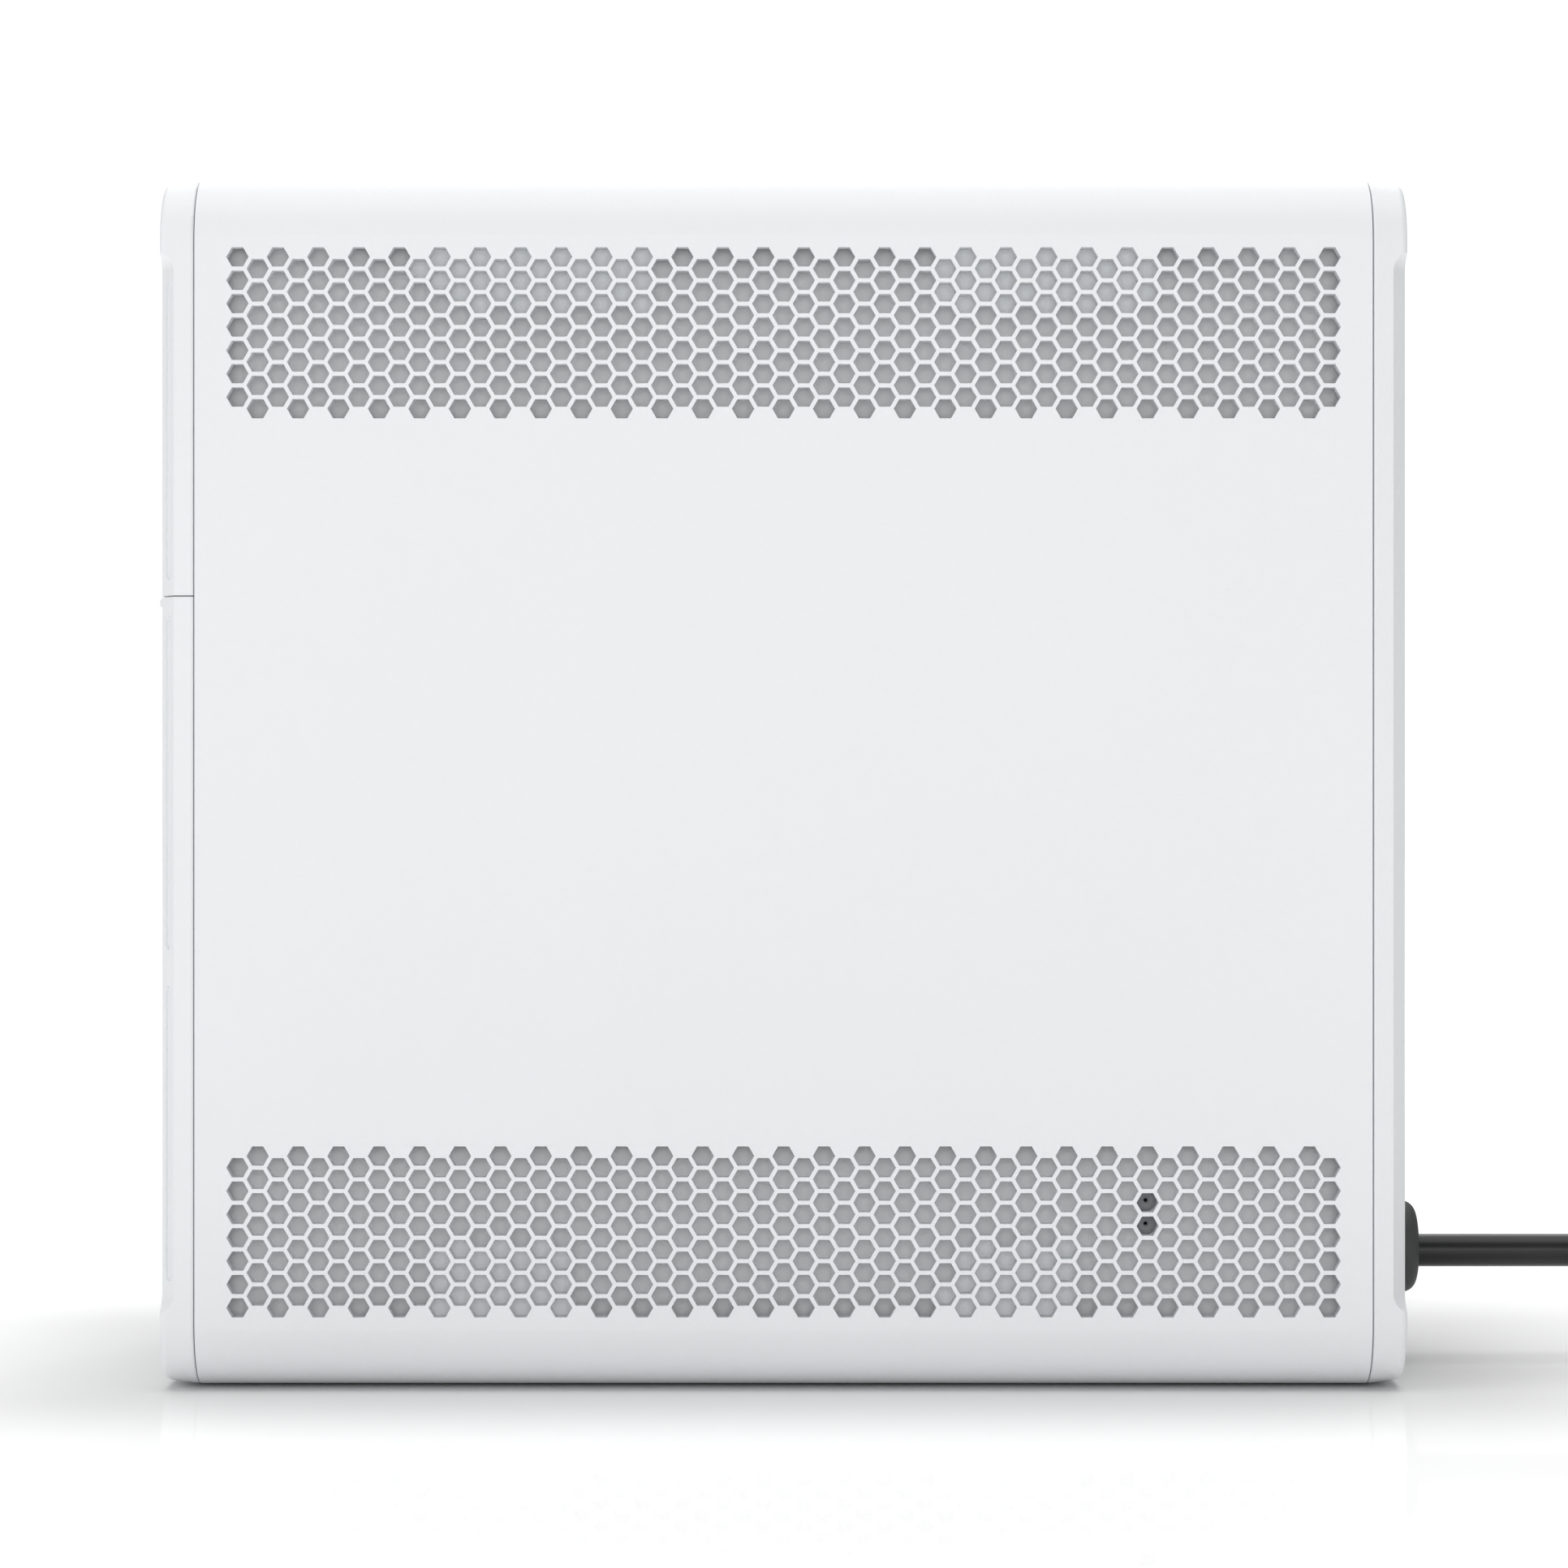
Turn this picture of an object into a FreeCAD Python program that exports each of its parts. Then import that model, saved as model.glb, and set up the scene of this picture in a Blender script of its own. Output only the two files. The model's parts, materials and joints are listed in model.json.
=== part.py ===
import FreeCAD, Part
import math
import os

Vector = FreeCAD.Vector

# A free-standing tower router that runs from the mains and carries a backup battery.
# Millimetres. +Z is up, the face with the pull-off cover looks to -X, the sockets to +X,
# and the origin is on the surface that the feet stand on, under the middle of the body.

# ---- driving sizes of the case ----
body_width = 120.0
body_height = 270.0
sleeve_length = 261.6
bezel_depth = 7.8
lip_proud = 1.0
corner_radius = 14.6
sleeve_wall = 3.8
bezel_wall = 3.4
foot_proud = 0.6
seam_gap = 0.25
bezel_draft = 0.9
front_rounding = 1.5
seam_rounding = 0.5
foot_radius = 7.0
foot_sunk = 1.0
foot_reach = 110.0
foot_spread = 36.0

# ---- clearances ----
slip_clearance = 0.3
shaft_clearance = 0.05
seat_clearance = 0.2

# ---- honeycomb vents in both sides ----
cell_pitch = 5.18
cell_flats = 4.3
cell_columns = 55
cell_rows = 7
band_reach = 116.55
blind_cell_depth = 5.2
baffle_setback = 6.4
baffle_thickness = 1.2
baffle_margin = 4.2

# ---- finger scoops, grooves and pull lip on the two end bezels ----
scoop_run = 3.6
scoop_rise = 5.8
scoop_reach = 118.4
scoop_end_radius = 4.7
groove_width = 3.2
groove_depth = 0.5
cover_split_height = 41.35
groove_spans = ((45.1, 111.0), (-37.2, 37.1), (-111.1, -45.4))
lip_height = 1.75
lip_side_margin = 9.0
lip_drop = 0.2
lip_rounding = 0.45

# ---- fastenings between the front pieces and the plate behind them ----
post_radius = 3.6
post_spread = 48.0
post_above_split = 12.0
post_below_top = 18.0
peg_radius = 2.5
peg_spread = 52.0
peg_above_bottom = 20.0
peg_below_split = 24.0
magnet_radius = 4.0
magnet_depth = 2.2
magnet_spread = 30.0
magnet_below_split = 10.0
keeper_thickness = 1.0

# ---- status window and its lamps ----
window_y = (-30.0, 30.0)
window_above_split = 52.0
window_height = 12.0
window_rebate = 1.2
light_places = (-20.0, -10.0, 0.0, 10.0, 20.0)
lamp_height = 1.1

# ---- battery cartridge and its bay ----
battery_length = 151.0
battery_width = 65.0
battery_height = 94.0
battery_clearance = 0.8
bay_sheet = 1.0
pull_tab_width = 20.0
connector_y = (-32.0, 4.0)
connector_z = (50.0, 72.0)
terminal_y = (-24.0, -4.0)

# ---- steel chassis ----
chassis_sheet = 1.2
chassis_y = 20.0
chassis_below_top = 33.4
rail_height = 4.6
rail_width = 3.0
frame_thickness = 2.2

# ---- boards ----
board_thickness = 1.6
main_standoff = 5.8
power_standoff = 5.6
screw_radius = 1.5
main_board_length = 194.0
main_board_height = 118.0
main_board_rear_gap = 2.9
main_board_top_gap = 6.2
power_board_z = (14.0, 108.0)
power_board_rear_gap = 21.9
chip_size = 28.0
chip_height = 2.2
transformer_size = 36.0
capacitor_radius = 9.5
capacitor_height = 36.0
lead_radius = 1.0
front_cable_radius = 1.5

# ---- radio and antennas ----
tray_thickness = 2.0
antenna_y = 38.0
antenna_size = (40.0, 0.8, 22.0)
radio_half_length = 33.0
radio_half_y = 21.0

# ---- rear panel ----
panel_sheet = 1.2
rear_frame_width = 8.0
rear_flange = 3.0
fan_size = 60.0
fan_depth = 25.0
fan_y = -18.0
fan_below_top = 74.6
fan_bore_radius = 28.0
fan_hub_radius = 13.0
fan_shaft_radius = 1.5
fan_screw_spread = 25.0
panel_screw_spread = 48.5
panel_screw_inset = 16.0
jack_width = 16.2
jack_height = 13.6
jack_depth = 21.3
lan_above_board = (21.0, 38.0, 55.0, 72.0)
wan_above_board = 93.0
usb_above_board = 110.0
usb_width = 13.2
usb_depth = 5.7
reset_above_board = 8.0
reset_radius = 1.7
reset_travel = 0.8
rocker_y = -30.0
rocker_z = 60.0
rocker_tilt = 10.0
rocker_half_height = 9.0
rocker_half_width = 5.4
rocker_wall = 1.4
rocker_pin_radius = 1.2

# ---- power button ----
button_radius = 7.0
button_travel = 1.2
button_y = -12.0
button_above_centre = 72.0

# ---- mains cord ----
cord_diameter = 7.6
cord_exit_height = 25.7
relief_height = 26.7
relief_radius = 10.7
relief_proud = 9.7
relief_neck = 7.4
relief_rounding = 3.2
coil_middle_radius = 43.6
coil_half_width = 14.5
coil_layers = 2
coil_pitch = 7.7
coil_centre_x = 262.0
coil_centre_y = 35.0
tail_angle = -30.0
tail_length = 28.0
plug_length = 44.0
plug_width = 25.0
plug_boot_length = 16.0
plug_pin_length = 17.5

# ---- places worked out from the sizes above ----
overall_length = lip_proud + bezel_depth + sleeve_length + bezel_depth
front_x = -overall_length / 2 + lip_proud
front_seam = front_x + bezel_depth
rear_seam = front_seam + sleeve_length
rear_x = rear_seam + bezel_depth
sleeve_front = front_seam + seam_gap / 2
sleeve_rear = rear_seam - seam_gap / 2
bottom_z = foot_proud
top_z = foot_proud + body_height
centre_z = foot_proud + body_height / 2
half_width = body_width / 2
column_pitch = cell_pitch * math.sqrt(3) / 2
middle_x = (front_seam + rear_seam) / 2
split_z = centre_z + cover_split_height
button_z = centre_z + button_above_centre
window_z = (split_z + window_above_split, split_z + window_above_split + window_height)
scoop_slope = math.hypot(scoop_run, scoop_rise)
frame_front = sleeve_front + 0.7
frame_back = frame_front + frame_thickness
panel_back = rear_x - rear_flange
panel_front = panel_back - panel_sheet
board_y = chassis_y + chassis_sheet + main_standoff
power_board_y = chassis_y - power_standoff - board_thickness
floor_z = bottom_z + sleeve_wall
chassis_floor = floor_z + rail_height
bay_floor = chassis_floor + chassis_sheet
battery_low = bay_floor + bay_sheet + slip_clearance
battery_far = chassis_y - bay_sheet - battery_clearance
battery_near = battery_far - battery_width
battery_front = frame_back + 2.6
battery_rear = battery_front + battery_length
bay_top = battery_low + battery_height + battery_clearance + bay_sheet
bay_rear = battery_rear + 4.5
chassis_top = top_z - chassis_below_top
board_face = board_y + board_thickness
power_board_face = power_board_y + board_thickness
main_board_x = (panel_front - main_board_rear_gap - main_board_length, panel_front - main_board_rear_gap)
main_board_top = chassis_top - main_board_top_gap
main_board_z = (main_board_top - main_board_height, main_board_top)
lan_heights = [main_board_z[0] + height for height in lan_above_board]
wan_height = main_board_z[0] + wan_above_board
usb_height = main_board_z[0] + usb_above_board
reset_height = main_board_z[0] + reset_above_board
power_board_x = (bay_rear + 14.0, panel_front - power_board_rear_gap)
terminal_x = (power_board_x[1] - 15.0, power_board_x[1] - 3.0)
terminal_low = power_board_z[0] + 24.0
chip_x = (main_board_x[0] + 72.0, main_board_x[0] + 72.0 + chip_size)
chip_z = (main_board_z[0] + 37.0, main_board_z[0] + 37.0 + chip_size)
fan_z = top_z - fan_below_top
fan_lead_x = panel_front - fan_depth - 9.9
fan_lead_z = fan_z - 24.0
front_cable_x = frame_back + 15.3
front_cable_z = button_z - 7.6
tray_x = (frame_back + 23.3, panel_front - 22.9)
antenna_starts = (tray_x[0] + 6.0, tray_x[1] - 10.0 - antenna_size[0])
radio_x = (middle_x - radio_half_length, middle_x + radio_half_length)
rocker_pivot_x = panel_back - 1.2
relief_inner_x = panel_front - 9.0
relief_end = rear_x + relief_proud
cord_radius = cord_diameter / 2


# ---- small helpers ----
def box(x, y, z):
    low = Vector(x[0], y[0], z[0])
    return Part.makeBox(x[1] - x[0], y[1] - y[0], z[1] - z[0], low)


def rod(radius, start, end):
    start, end = Vector(*start), Vector(*end)
    return Part.makeCylinder(radius, (end - start).Length, start, end - start)


def rounded_box(x, y, z, radius, along):
    """A box whose four edges along one axis are rounded."""
    block = box(x, y, z)
    axis = {"x": Vector(1, 0, 0), "y": Vector(0, 1, 0), "z": Vector(0, 0, 1)}[along]
    edges = []
    for edge in block.Edges:
        if abs(edge.tangentAt(edge.FirstParameter).dot(axis)) > 0.99:
            edges.append(edge)
    return block.makeFillet(radius, edges)


def fused(shapes):
    return shapes[0].fuse(shapes[1:]) if len(shapes) > 1 else shapes[0]


def group(shapes):
    return Part.makeCompound(shapes)


def mirrored_y(shape):
    return shape.mirror(Vector(0, 0, 0), Vector(0, 1, 0))


def save(name, shape):
    solids = shape.Solids
    if not solids or not shape.isValid():
        raise ValueError(name + " is not a valid solid")
    shape.exportStep("parts/" + name + ".step")
    volume = sum(solid.Volume for solid in solids)
    print(f"{name}: {len(solids)} solid(s), {volume / 1000:.2f} cm3")


# ---- honeycomb ----
def cell_place(column, row, band):
    """Centre of one vent cell. Odd columns sit half a pitch nearer the middle."""
    x = middle_x + (column - (cell_columns - 1) / 2) * column_pitch
    fall = (row + (column % 2) / 2) * cell_pitch
    return x, centre_z + band * (band_reach - fall)


def hexagon(x, y, z, flats):
    radius = flats / math.sqrt(3)
    corners = []
    for corner in range(7):
        angle = math.radians(60 * corner)
        corners.append(Vector(x + radius * math.cos(angle), y, z + radius * math.sin(angle)))
    return Part.makePolygon(corners)


def is_blind(column, row, band):
    """Cells that a boss on the inside of the sleeve closes. Rows count from the outer edge."""
    depth = row + (column % 2) / 2
    if band > 0:
        front_boss = 9 <= column <= 20 and depth <= 2.0 and depth <= (column - 8.0) / 2
        rear_boss = 35 <= column <= 45 and depth <= 2.0
    else:
        front_boss = 10 <= column <= 16 and depth <= 2.5
        rear_boss = 36 - (depth < 1) <= column <= 41 and depth <= 2.5
    return front_boss or rear_boss


def vent_plate(band):
    """The perforated stretch of the near wall, with a boss behind each group of blind cells."""
    outer_y = -half_width
    inner_y = outer_y + sleeve_wall
    half_span = column_pitch * (cell_columns - 1) / 2 + cell_pitch
    edge_z = centre_z + band * (band_reach + cell_pitch)
    inner_edge_z = centre_z + band * (band_reach - cell_rows * cell_pitch)
    z_span = sorted((edge_z, inner_edge_z))
    rim = box((middle_x - half_span, middle_x + half_span), (outer_y, inner_y), z_span)
    front_rim = rim.Faces[0]
    for face in rim.Faces:
        if face.CenterOfMass.y < front_rim.CenterOfMass.y:
            front_rim = face
    holes, cups, pockets = [], [], []
    for column in range(cell_columns):
        for row in range(cell_rows):
            x, z = cell_place(column, row, band)
            holes.append(hexagon(x, outer_y, z, cell_flats))
            if is_blind(column, row, band):
                cup = Part.Face(hexagon(x, inner_y, z, cell_pitch))
                cups.append(cup.extrude(Vector(0, baffle_setback - sleeve_wall, 0)))
                pocket = Part.Face(hexagon(x, inner_y, z, cell_flats))
                pockets.append(pocket.extrude(Vector(0, blind_cell_depth - sleeve_wall, 0)))
    face = Part.makeFace([front_rim.OuterWire] + holes, "Part::FaceMakerBullseye")
    plate = face.extrude(Vector(0, sleeve_wall, 0))
    bosses = cups[0].multiFuse(cups[1:]).removeSplitter()
    return rim, plate.fuse(bosses.cut(pockets))


def outer_sleeve():
    length = (sleeve_front, sleeve_rear)
    skin = rounded_box(length, (-half_width, half_width), (bottom_z, top_z), corner_radius, "x")
    inner_y = (-half_width + sleeve_wall, half_width - sleeve_wall)
    inner_z = (bottom_z + sleeve_wall, top_z - sleeve_wall)
    hollow = rounded_box(length, inner_y, inner_z, corner_radius - sleeve_wall, "x")
    rims, plates = [], []
    for band in (1, -1):
        rim, plate = vent_plate(band)
        rims += [rim, mirrored_y(rim)]
        plates += [plate, mirrored_y(plate)]
    sleeve = skin.cut([hollow] + rims + foot_recesses()).fuse(sleeve_rails())
    return sleeve.fuse(plates)


def sleeve_rails():
    """Two rails on the floor that carry the chassis."""
    rails = []
    for y in (-40.0, 8.0):
        span = (y - rail_width / 2, y + rail_width / 2)
        rails.append(box((frame_back, sleeve_rear), span, (floor_z, chassis_floor)))
    return rails


def foot_places():
    for x in (-foot_reach, foot_reach):
        for y in (-foot_spread, foot_spread):
            yield x, y


def foot_recesses():
    recesses = []
    for x, y in foot_places():
        radius = foot_radius + seat_clearance
        recesses.append(rod(radius, (x, y, bottom_z), (x, y, bottom_z + foot_sunk)))
    return recesses


def rubber_feet():
    feet = []
    for x, y in foot_places():
        foot = rod(foot_radius, (x, y, 0), (x, y, foot_proud + foot_sunk))
        rim = [edge for edge in foot.Edges if edge.BoundBox.ZMax < 0.1]
        feet.append(foot.makeChamfer(0.3, rim))
    return group(feet)


def vent_baffle(band):
    """A light screen behind one band of cells, with a hole or two where a lead passes."""
    y = (-half_width + baffle_setback, -half_width + baffle_setback + baffle_thickness)
    half_span = column_pitch * (cell_columns - 1) / 2
    outer_z = centre_z + band * (band_reach + baffle_margin)
    inner_z = centre_z + band * (band_reach - cell_rows * cell_pitch - baffle_margin)
    x = (middle_x - half_span - baffle_margin, middle_x + half_span + baffle_margin)
    screen = box(x, y, sorted((outer_z, inner_z)))
    if band < 0:
        lead_holes = []
        for row in (3, 4):
            hole_x, hole_z = cell_place(45, row, band)
            ends = ((hole_x, y[0], hole_z), (hole_x, y[1], hole_z))
            lead_holes.append(rod(cell_flats / 2, *ends))
        screen = screen.cut(lead_holes)
    ribs = []
    for start in (x[0] + 6.0, x[1] - 30.0):
        rib_x = (start, start + 24.0)
        rib_z = sorted((outer_z, outer_z - band * 1.6))
        ribs.append(box(rib_x, (-half_width + sleeve_wall, y[0]), rib_z))
    return fused([screen] + ribs)


# ---- the two end bezels ----
def outline(x, inset):
    """Rounded rectangle of the case at x, drawn in by inset all round."""
    y = half_width - inset
    low, high = bottom_z + inset, top_z - inset
    sheet = rounded_box((x, x + 1.0), (-y, y), (low, high), corner_radius - inset, "x")
    ends = [face for face in sheet.Faces if face.BoundBox.XMax < x + 0.001]
    return ends[0].OuterWire


def bezel_block(seam_x, end_x):
    """Solid end cap that narrows a little towards its rounded outer face."""
    wires = [outline(seam_x, 0.0), outline(end_x, bezel_draft)]
    block = Part.makeLoft(wires, True, True)
    rim = [edge for edge in block.Edges if abs(edge.BoundBox.Center.x - end_x) < 0.01]
    block = block.makeFillet(front_rounding, rim)
    seam = [edge for edge in block.Edges if abs(edge.BoundBox.Center.x - seam_x) < 0.01]
    return block.makeFillet(seam_rounding, seam)


def along_scoop(shape, end_x, outward, side):
    """Carries a shape drawn about the scoop's face to one corner of an end bezel."""
    angle = math.degrees(math.atan2(-scoop_run, -scoop_rise))
    shape = shape.copy()
    shape.rotate(Vector(0, 0, 0), Vector(0, 0, 1), angle)
    shape.translate(Vector(scoop_run / 2, -half_width + scoop_rise / 2, centre_z))
    if side > 0:
        shape = mirrored_y(shape)
    if outward > 0:
        shape = shape.mirror(Vector(0, 0, 0), Vector(1, 0, 0))
    shape.translate(Vector(end_x, 0, 0))
    return shape


def scoop_cutter():
    """A long flat cut that runs out in a quarter round at each end."""
    reach = scoop_reach - scoop_end_radius
    half = scoop_slope
    cutter = [box((0, 4 * scoop_end_radius), (-half, half), (-reach, reach))]
    for end in (-reach, reach):
        ends = ((scoop_end_radius, -half, end), (scoop_end_radius, half, end))
        cutter.append(rod(scoop_end_radius, *ends))
    return fused(cutter)


def groove_cutter(low, high):
    radius = groove_width / 2
    depth = (-groove_depth, 1.0)
    middle = box(depth, (-radius, radius), (low + radius, high - radius))
    ends = []
    for z in (low + radius, high - radius):
        ends.append(rod(radius, (depth[0], 0, z), (depth[1], 0, z)))
    return fused([middle] + ends)


def front_bezel():
    """Both front pieces before they are parted."""
    block = bezel_block(front_seam - seam_gap / 2, front_x)
    tools = []
    for side in (-1, 1):
        tools.append(along_scoop(scoop_cutter(), front_x, -1, side))
        for low, high in groove_spans:
            tools.append(along_scoop(groove_cutter(low, high), front_x, -1, side))
    return block.cut(tools)


def front_hollow(low, high):
    x = (front_x + bezel_wall, front_seam)
    y = (-half_width + bezel_wall, half_width - bezel_wall)
    return rounded_box(x, y, (low, high), corner_radius - bezel_wall, "x")


def pocket_floor():
    return front_x + bezel_wall


def window_block(x, shrink):
    y = (window_y[0] + shrink, window_y[1] - shrink)
    z = (window_z[0] + shrink, window_z[1] - shrink)
    return rounded_box(x, y, z, 3.0 - shrink, "x")


def bezel_bosses():
    """Four posts behind the upper bezel that its screws bite into."""
    for y in (-post_spread, post_spread):
        for z in (split_z + post_above_split, top_z - post_below_top):
            yield y, z


def front_bezel_upper():
    half = front_bezel()
    low = split_z + seam_gap / 2
    upper = half.common(box((-200, 0), (-100, 100), (low, 300)))
    upper = upper.cut(front_hollow(low + bezel_wall, top_z - bezel_wall))
    posts = []
    for y, z in bezel_bosses():
        posts.append(rod(post_radius, (pocket_floor(), y, z), (frame_front, y, z)))
    upper = upper.fuse(posts)
    holes = [window_block((front_x - 1, front_x + window_rebate + 1), 0.0)]
    holes.append(window_block((front_x - 1, front_x + 20), 2.0))
    bore = button_radius + slip_clearance
    ends = ((front_x - 1, button_y, button_z), (pocket_floor() + 1, button_y, button_z))
    holes.append(rod(bore, *ends))
    for y, z in bezel_bosses():
        holes.append(rod(screw_radius - 0.2, (pocket_floor() + 0.5, y, z), (frame_front + 1, y, z)))
    return upper.cut(holes)


def cover_pegs():
    for y in (-peg_spread, peg_spread):
        for z in (bottom_z + peg_above_bottom, split_z - peg_below_split):
            yield y, z


def magnet_places():
    for y in (-magnet_spread, magnet_spread):
        yield y, split_z - magnet_below_split


def magnet_front():
    return frame_front - keeper_thickness - slip_clearance - magnet_depth


def front_cover_lower():
    high = split_z - seam_gap / 2
    lower = front_bezel().common(box((-200, 0), (-100, 100), (-10, high)))
    lower = lower.cut(front_hollow(bottom_z + bezel_wall, high - bezel_wall))
    reach = half_width - lip_side_margin
    lip_top = high - lip_drop
    lip_x = (front_x - lip_proud, front_x + 1.0)
    lip = box(lip_x, (-reach, reach), (lip_top - lip_height, lip_top))
    rim = []
    for edge in lip.Edges:
        if edge.BoundBox.XMax < front_x - lip_proud + 0.001:
            rim.append(edge)
    lip = lip.makeFillet(lip_rounding, rim)
    additions = [lip]
    for y, z in cover_pegs():
        peg = rod(peg_radius, (pocket_floor(), y, z), (frame_back + 2.0, y, z))
        tip = [edge for edge in peg.Edges if edge.BoundBox.XMin > frame_back + 1.9]
        additions.append(peg.makeChamfer(0.8, tip))
    for y, z in magnet_places():
        cup = rod(magnet_radius + 1.4, (pocket_floor(), y, z), (magnet_front() + 1.4, y, z))
        additions.append(cup)
    lower = lower.fuse(additions)
    seats = []
    for y, z in magnet_places():
        seats.append(rod(magnet_radius, (magnet_front(), y, z), (frame_front, y, z)))
    return lower.cut(seats)


def cover_magnets():
    discs = []
    for y, z in magnet_places():
        end = magnet_front() + magnet_depth
        discs.append(rod(magnet_radius, (magnet_front(), y, z), (end, y, z)))
    return group(discs)


def keeper_plates():
    discs = []
    for y, z in magnet_places():
        start = frame_front - keeper_thickness
        discs.append(rod(magnet_radius + 1.0, (start, y, z), (frame_front, y, z)))
    return group(discs)


def bay_opening(x):
    y = (battery_near - battery_clearance, battery_far + battery_clearance)
    z = (battery_low - slip_clearance, battery_low + battery_height + battery_clearance)
    return box(x, y, z)


def switch_window(x):
    return box(x, (-33.0, 33.0), (button_z - 14.0, window_z[1] + 3.0))


def front_frame():
    """Plate inside the sleeve's mouth that the bezel, the cover and the bay fasten to."""
    y = half_width - sleeve_wall - seat_clearance
    z = (floor_z + seat_clearance, top_z - sleeve_wall - seat_clearance)
    x = (frame_front, frame_back)
    radius = corner_radius - sleeve_wall - seat_clearance
    plate = rounded_box(x, (-y, y), z, radius, "x")
    span = (frame_front - 1, frame_back + 1)
    holes = [bay_opening(span), switch_window(span)]
    for peg_y, peg_z in cover_pegs():
        radius = peg_radius + slip_clearance
        holes.append(rod(radius, (span[0], peg_y, peg_z), (span[1], peg_y, peg_z)))
    for post_y, post_z in bezel_bosses():
        ends = ((span[0], post_y, post_z), (span[1], post_y, post_z))
        holes.append(rod(screw_radius + 0.1, *ends))
    return plate.cut(holes)


def bezel_screws():
    screws = []
    for y, z in bezel_bosses():
        shank = rod(screw_radius - 0.2, (frame_front - 4.0, y, z), (frame_back, y, z))
        head = rod(2.8, (frame_back, y, z), (frame_back + 1.8, y, z))
        screws.append(shank.fuse(head))
    return screws


def status_window():
    front = window_block((front_x, front_x + window_rebate + 1), 0.1)
    back = window_block((front_x + 0.5, pocket_floor()), 2.1)
    return front.fuse(back)


def window_middle():
    return (window_z[0] + window_z[1]) / 2


def front_board():
    x = (frame_back, frame_back + board_thickness)
    board = box(x, (-36.0, 36.0), (button_z - 17.0, window_z[1] + 6.0))
    notch = box((frame_back - 1, frame_back + 3), (chassis_y - 1, 60.0), (0, chassis_top + 1))
    return board.cut(notch).fuse(status_lights())


def status_lights():
    """Five small lamps soldered to the front board."""
    chips = []
    for y in light_places:
        z = window_middle()
        chips.append(box((frame_back - lamp_height, frame_back), (y - 1.5, y + 1.5), (z - 1.0, z + 1.0)))
    return chips


def light_guide():
    z = window_middle()
    bar = box((pocket_floor(), pocket_floor() + 2.0), (-24.0, 24.0), (z - 2.5, z + 2.5))
    fingers = []
    for y in light_places:
        end = frame_back - lamp_height
        fingers.append(box((pocket_floor() + 2.0, end), (y - 1.5, y + 1.5), (z - 1.5, z + 1.5)))
    return fused([bar] + fingers)


def button_switch():
    y, z = button_y, button_z
    body = box((frame_back - 3.0, frame_back), (y - 3, y + 3), (z - 3, z + 3))
    plunger = rod(1.7, (frame_back - 3.6, y, z), (frame_back - 3.0, y, z))
    return body.fuse(plunger)


def power_button():
    y, z = button_y, button_z
    cap = rod(button_radius, (front_x - 0.4, y, z), (pocket_floor() + 0.4, y, z))
    rim = [edge for edge in cap.Edges if edge.BoundBox.XMax < front_x]
    cap = cap.makeFillet(0.35, rim)
    flange_x = pocket_floor() + slip_clearance
    flange = rod(button_radius + 1.6, (flange_x, y, z), (flange_x + 1.0, y, z))
    stem_end = frame_back - 3.6 - button_travel - slip_clearance
    stem = rod(2.4, (flange_x + 1.0, y, z), (stem_end, y, z))
    return fused([cap, flange, stem])


# ---- chassis, bay and battery ----
def chassis_frame():
    """One bent sheet: an upright wall with a floor and a top flange towards the near side."""
    x = (frame_back, panel_front)
    near = battery_near - battery_clearance - bay_sheet
    sheet = chassis_sheet
    upright = box(x, (chassis_y, chassis_y + sheet), (chassis_floor, chassis_top))
    floor = box(x, (near, chassis_y), (chassis_floor, chassis_floor + sheet))
    top = box((x[0] + 20, x[1]), (near, chassis_y), (chassis_top - sheet, chassis_top))
    frame = fused([upright, floor, top])
    holes = []
    for x, z in ((fan_lead_x, fan_lead_z), (front_cable_x, front_cable_z)):
        holes.append(rod(4.0, (x, chassis_y - 1, z), (x, chassis_y + sheet + 1, z)))
    return frame.cut(holes)


def battery_bay():
    y = (battery_near - battery_clearance - bay_sheet, chassis_y)
    tunnel = box((frame_back, bay_rear + bay_sheet), y, (bay_floor, bay_top))
    hollow = bay_opening((frame_back - 1, bay_rear))
    window = box((bay_rear - 1, bay_rear + 5), connector_y, connector_z)
    return tunnel.cut([hollow, window])


def battery_block():
    x = (battery_front, battery_rear)
    y = (battery_near, battery_far)
    block = box(x, y, (battery_low, battery_low + battery_height))
    lid_z = battery_low + battery_height - 14.0
    groove = box(x, y, (lid_z, lid_z + 0.8))
    inner = box((x[0] + 0.5, x[1] - 0.5), (y[0] + 0.5, y[1] - 0.5), (lid_z, lid_z + 0.8))
    return block.cut(groove.cut(inner))


def battery_terminals():
    blades = []
    for y in terminal_y:
        x = (battery_rear, battery_rear + 4.0)
        blades.append(box(x, (y - 3.2, y + 3.2), (60.6, 61.4)))
    return group(blades)


def battery_pull_tab():
    middle = (battery_near + battery_far) / 2
    y = (middle - pull_tab_width / 2, middle + pull_tab_width / 2)
    z = battery_low + battery_height / 2
    stuck = box((battery_front - 0.8, battery_front), y, (z - 20, z + 12))
    loose = box((battery_front - 3.4, battery_front - 0.8), y, (z + 10.8, z + 12))
    hanging = box((battery_front - 3.4, battery_front - 2.6), y, (z - 8, z + 12))
    return fused([stuck, loose, hanging])


def bay_connector():
    """Block behind the bay whose slots the battery's blades slide into."""
    back = bay_rear + bay_sheet
    flange = box((back, back + 2.0), (connector_y[0] - 4, connector_y[1] + 4), (46.0, 76.0))
    body = box((back + 2.0, back + 9.0), connector_y, connector_z)
    block = flange.fuse(body)
    slots = []
    for y in terminal_y:
        slots.append(box((back - 1, back + 6.0), (y - 3.9, y + 3.9), (59.6, 62.4)))
    return block.cut(slots)


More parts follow.
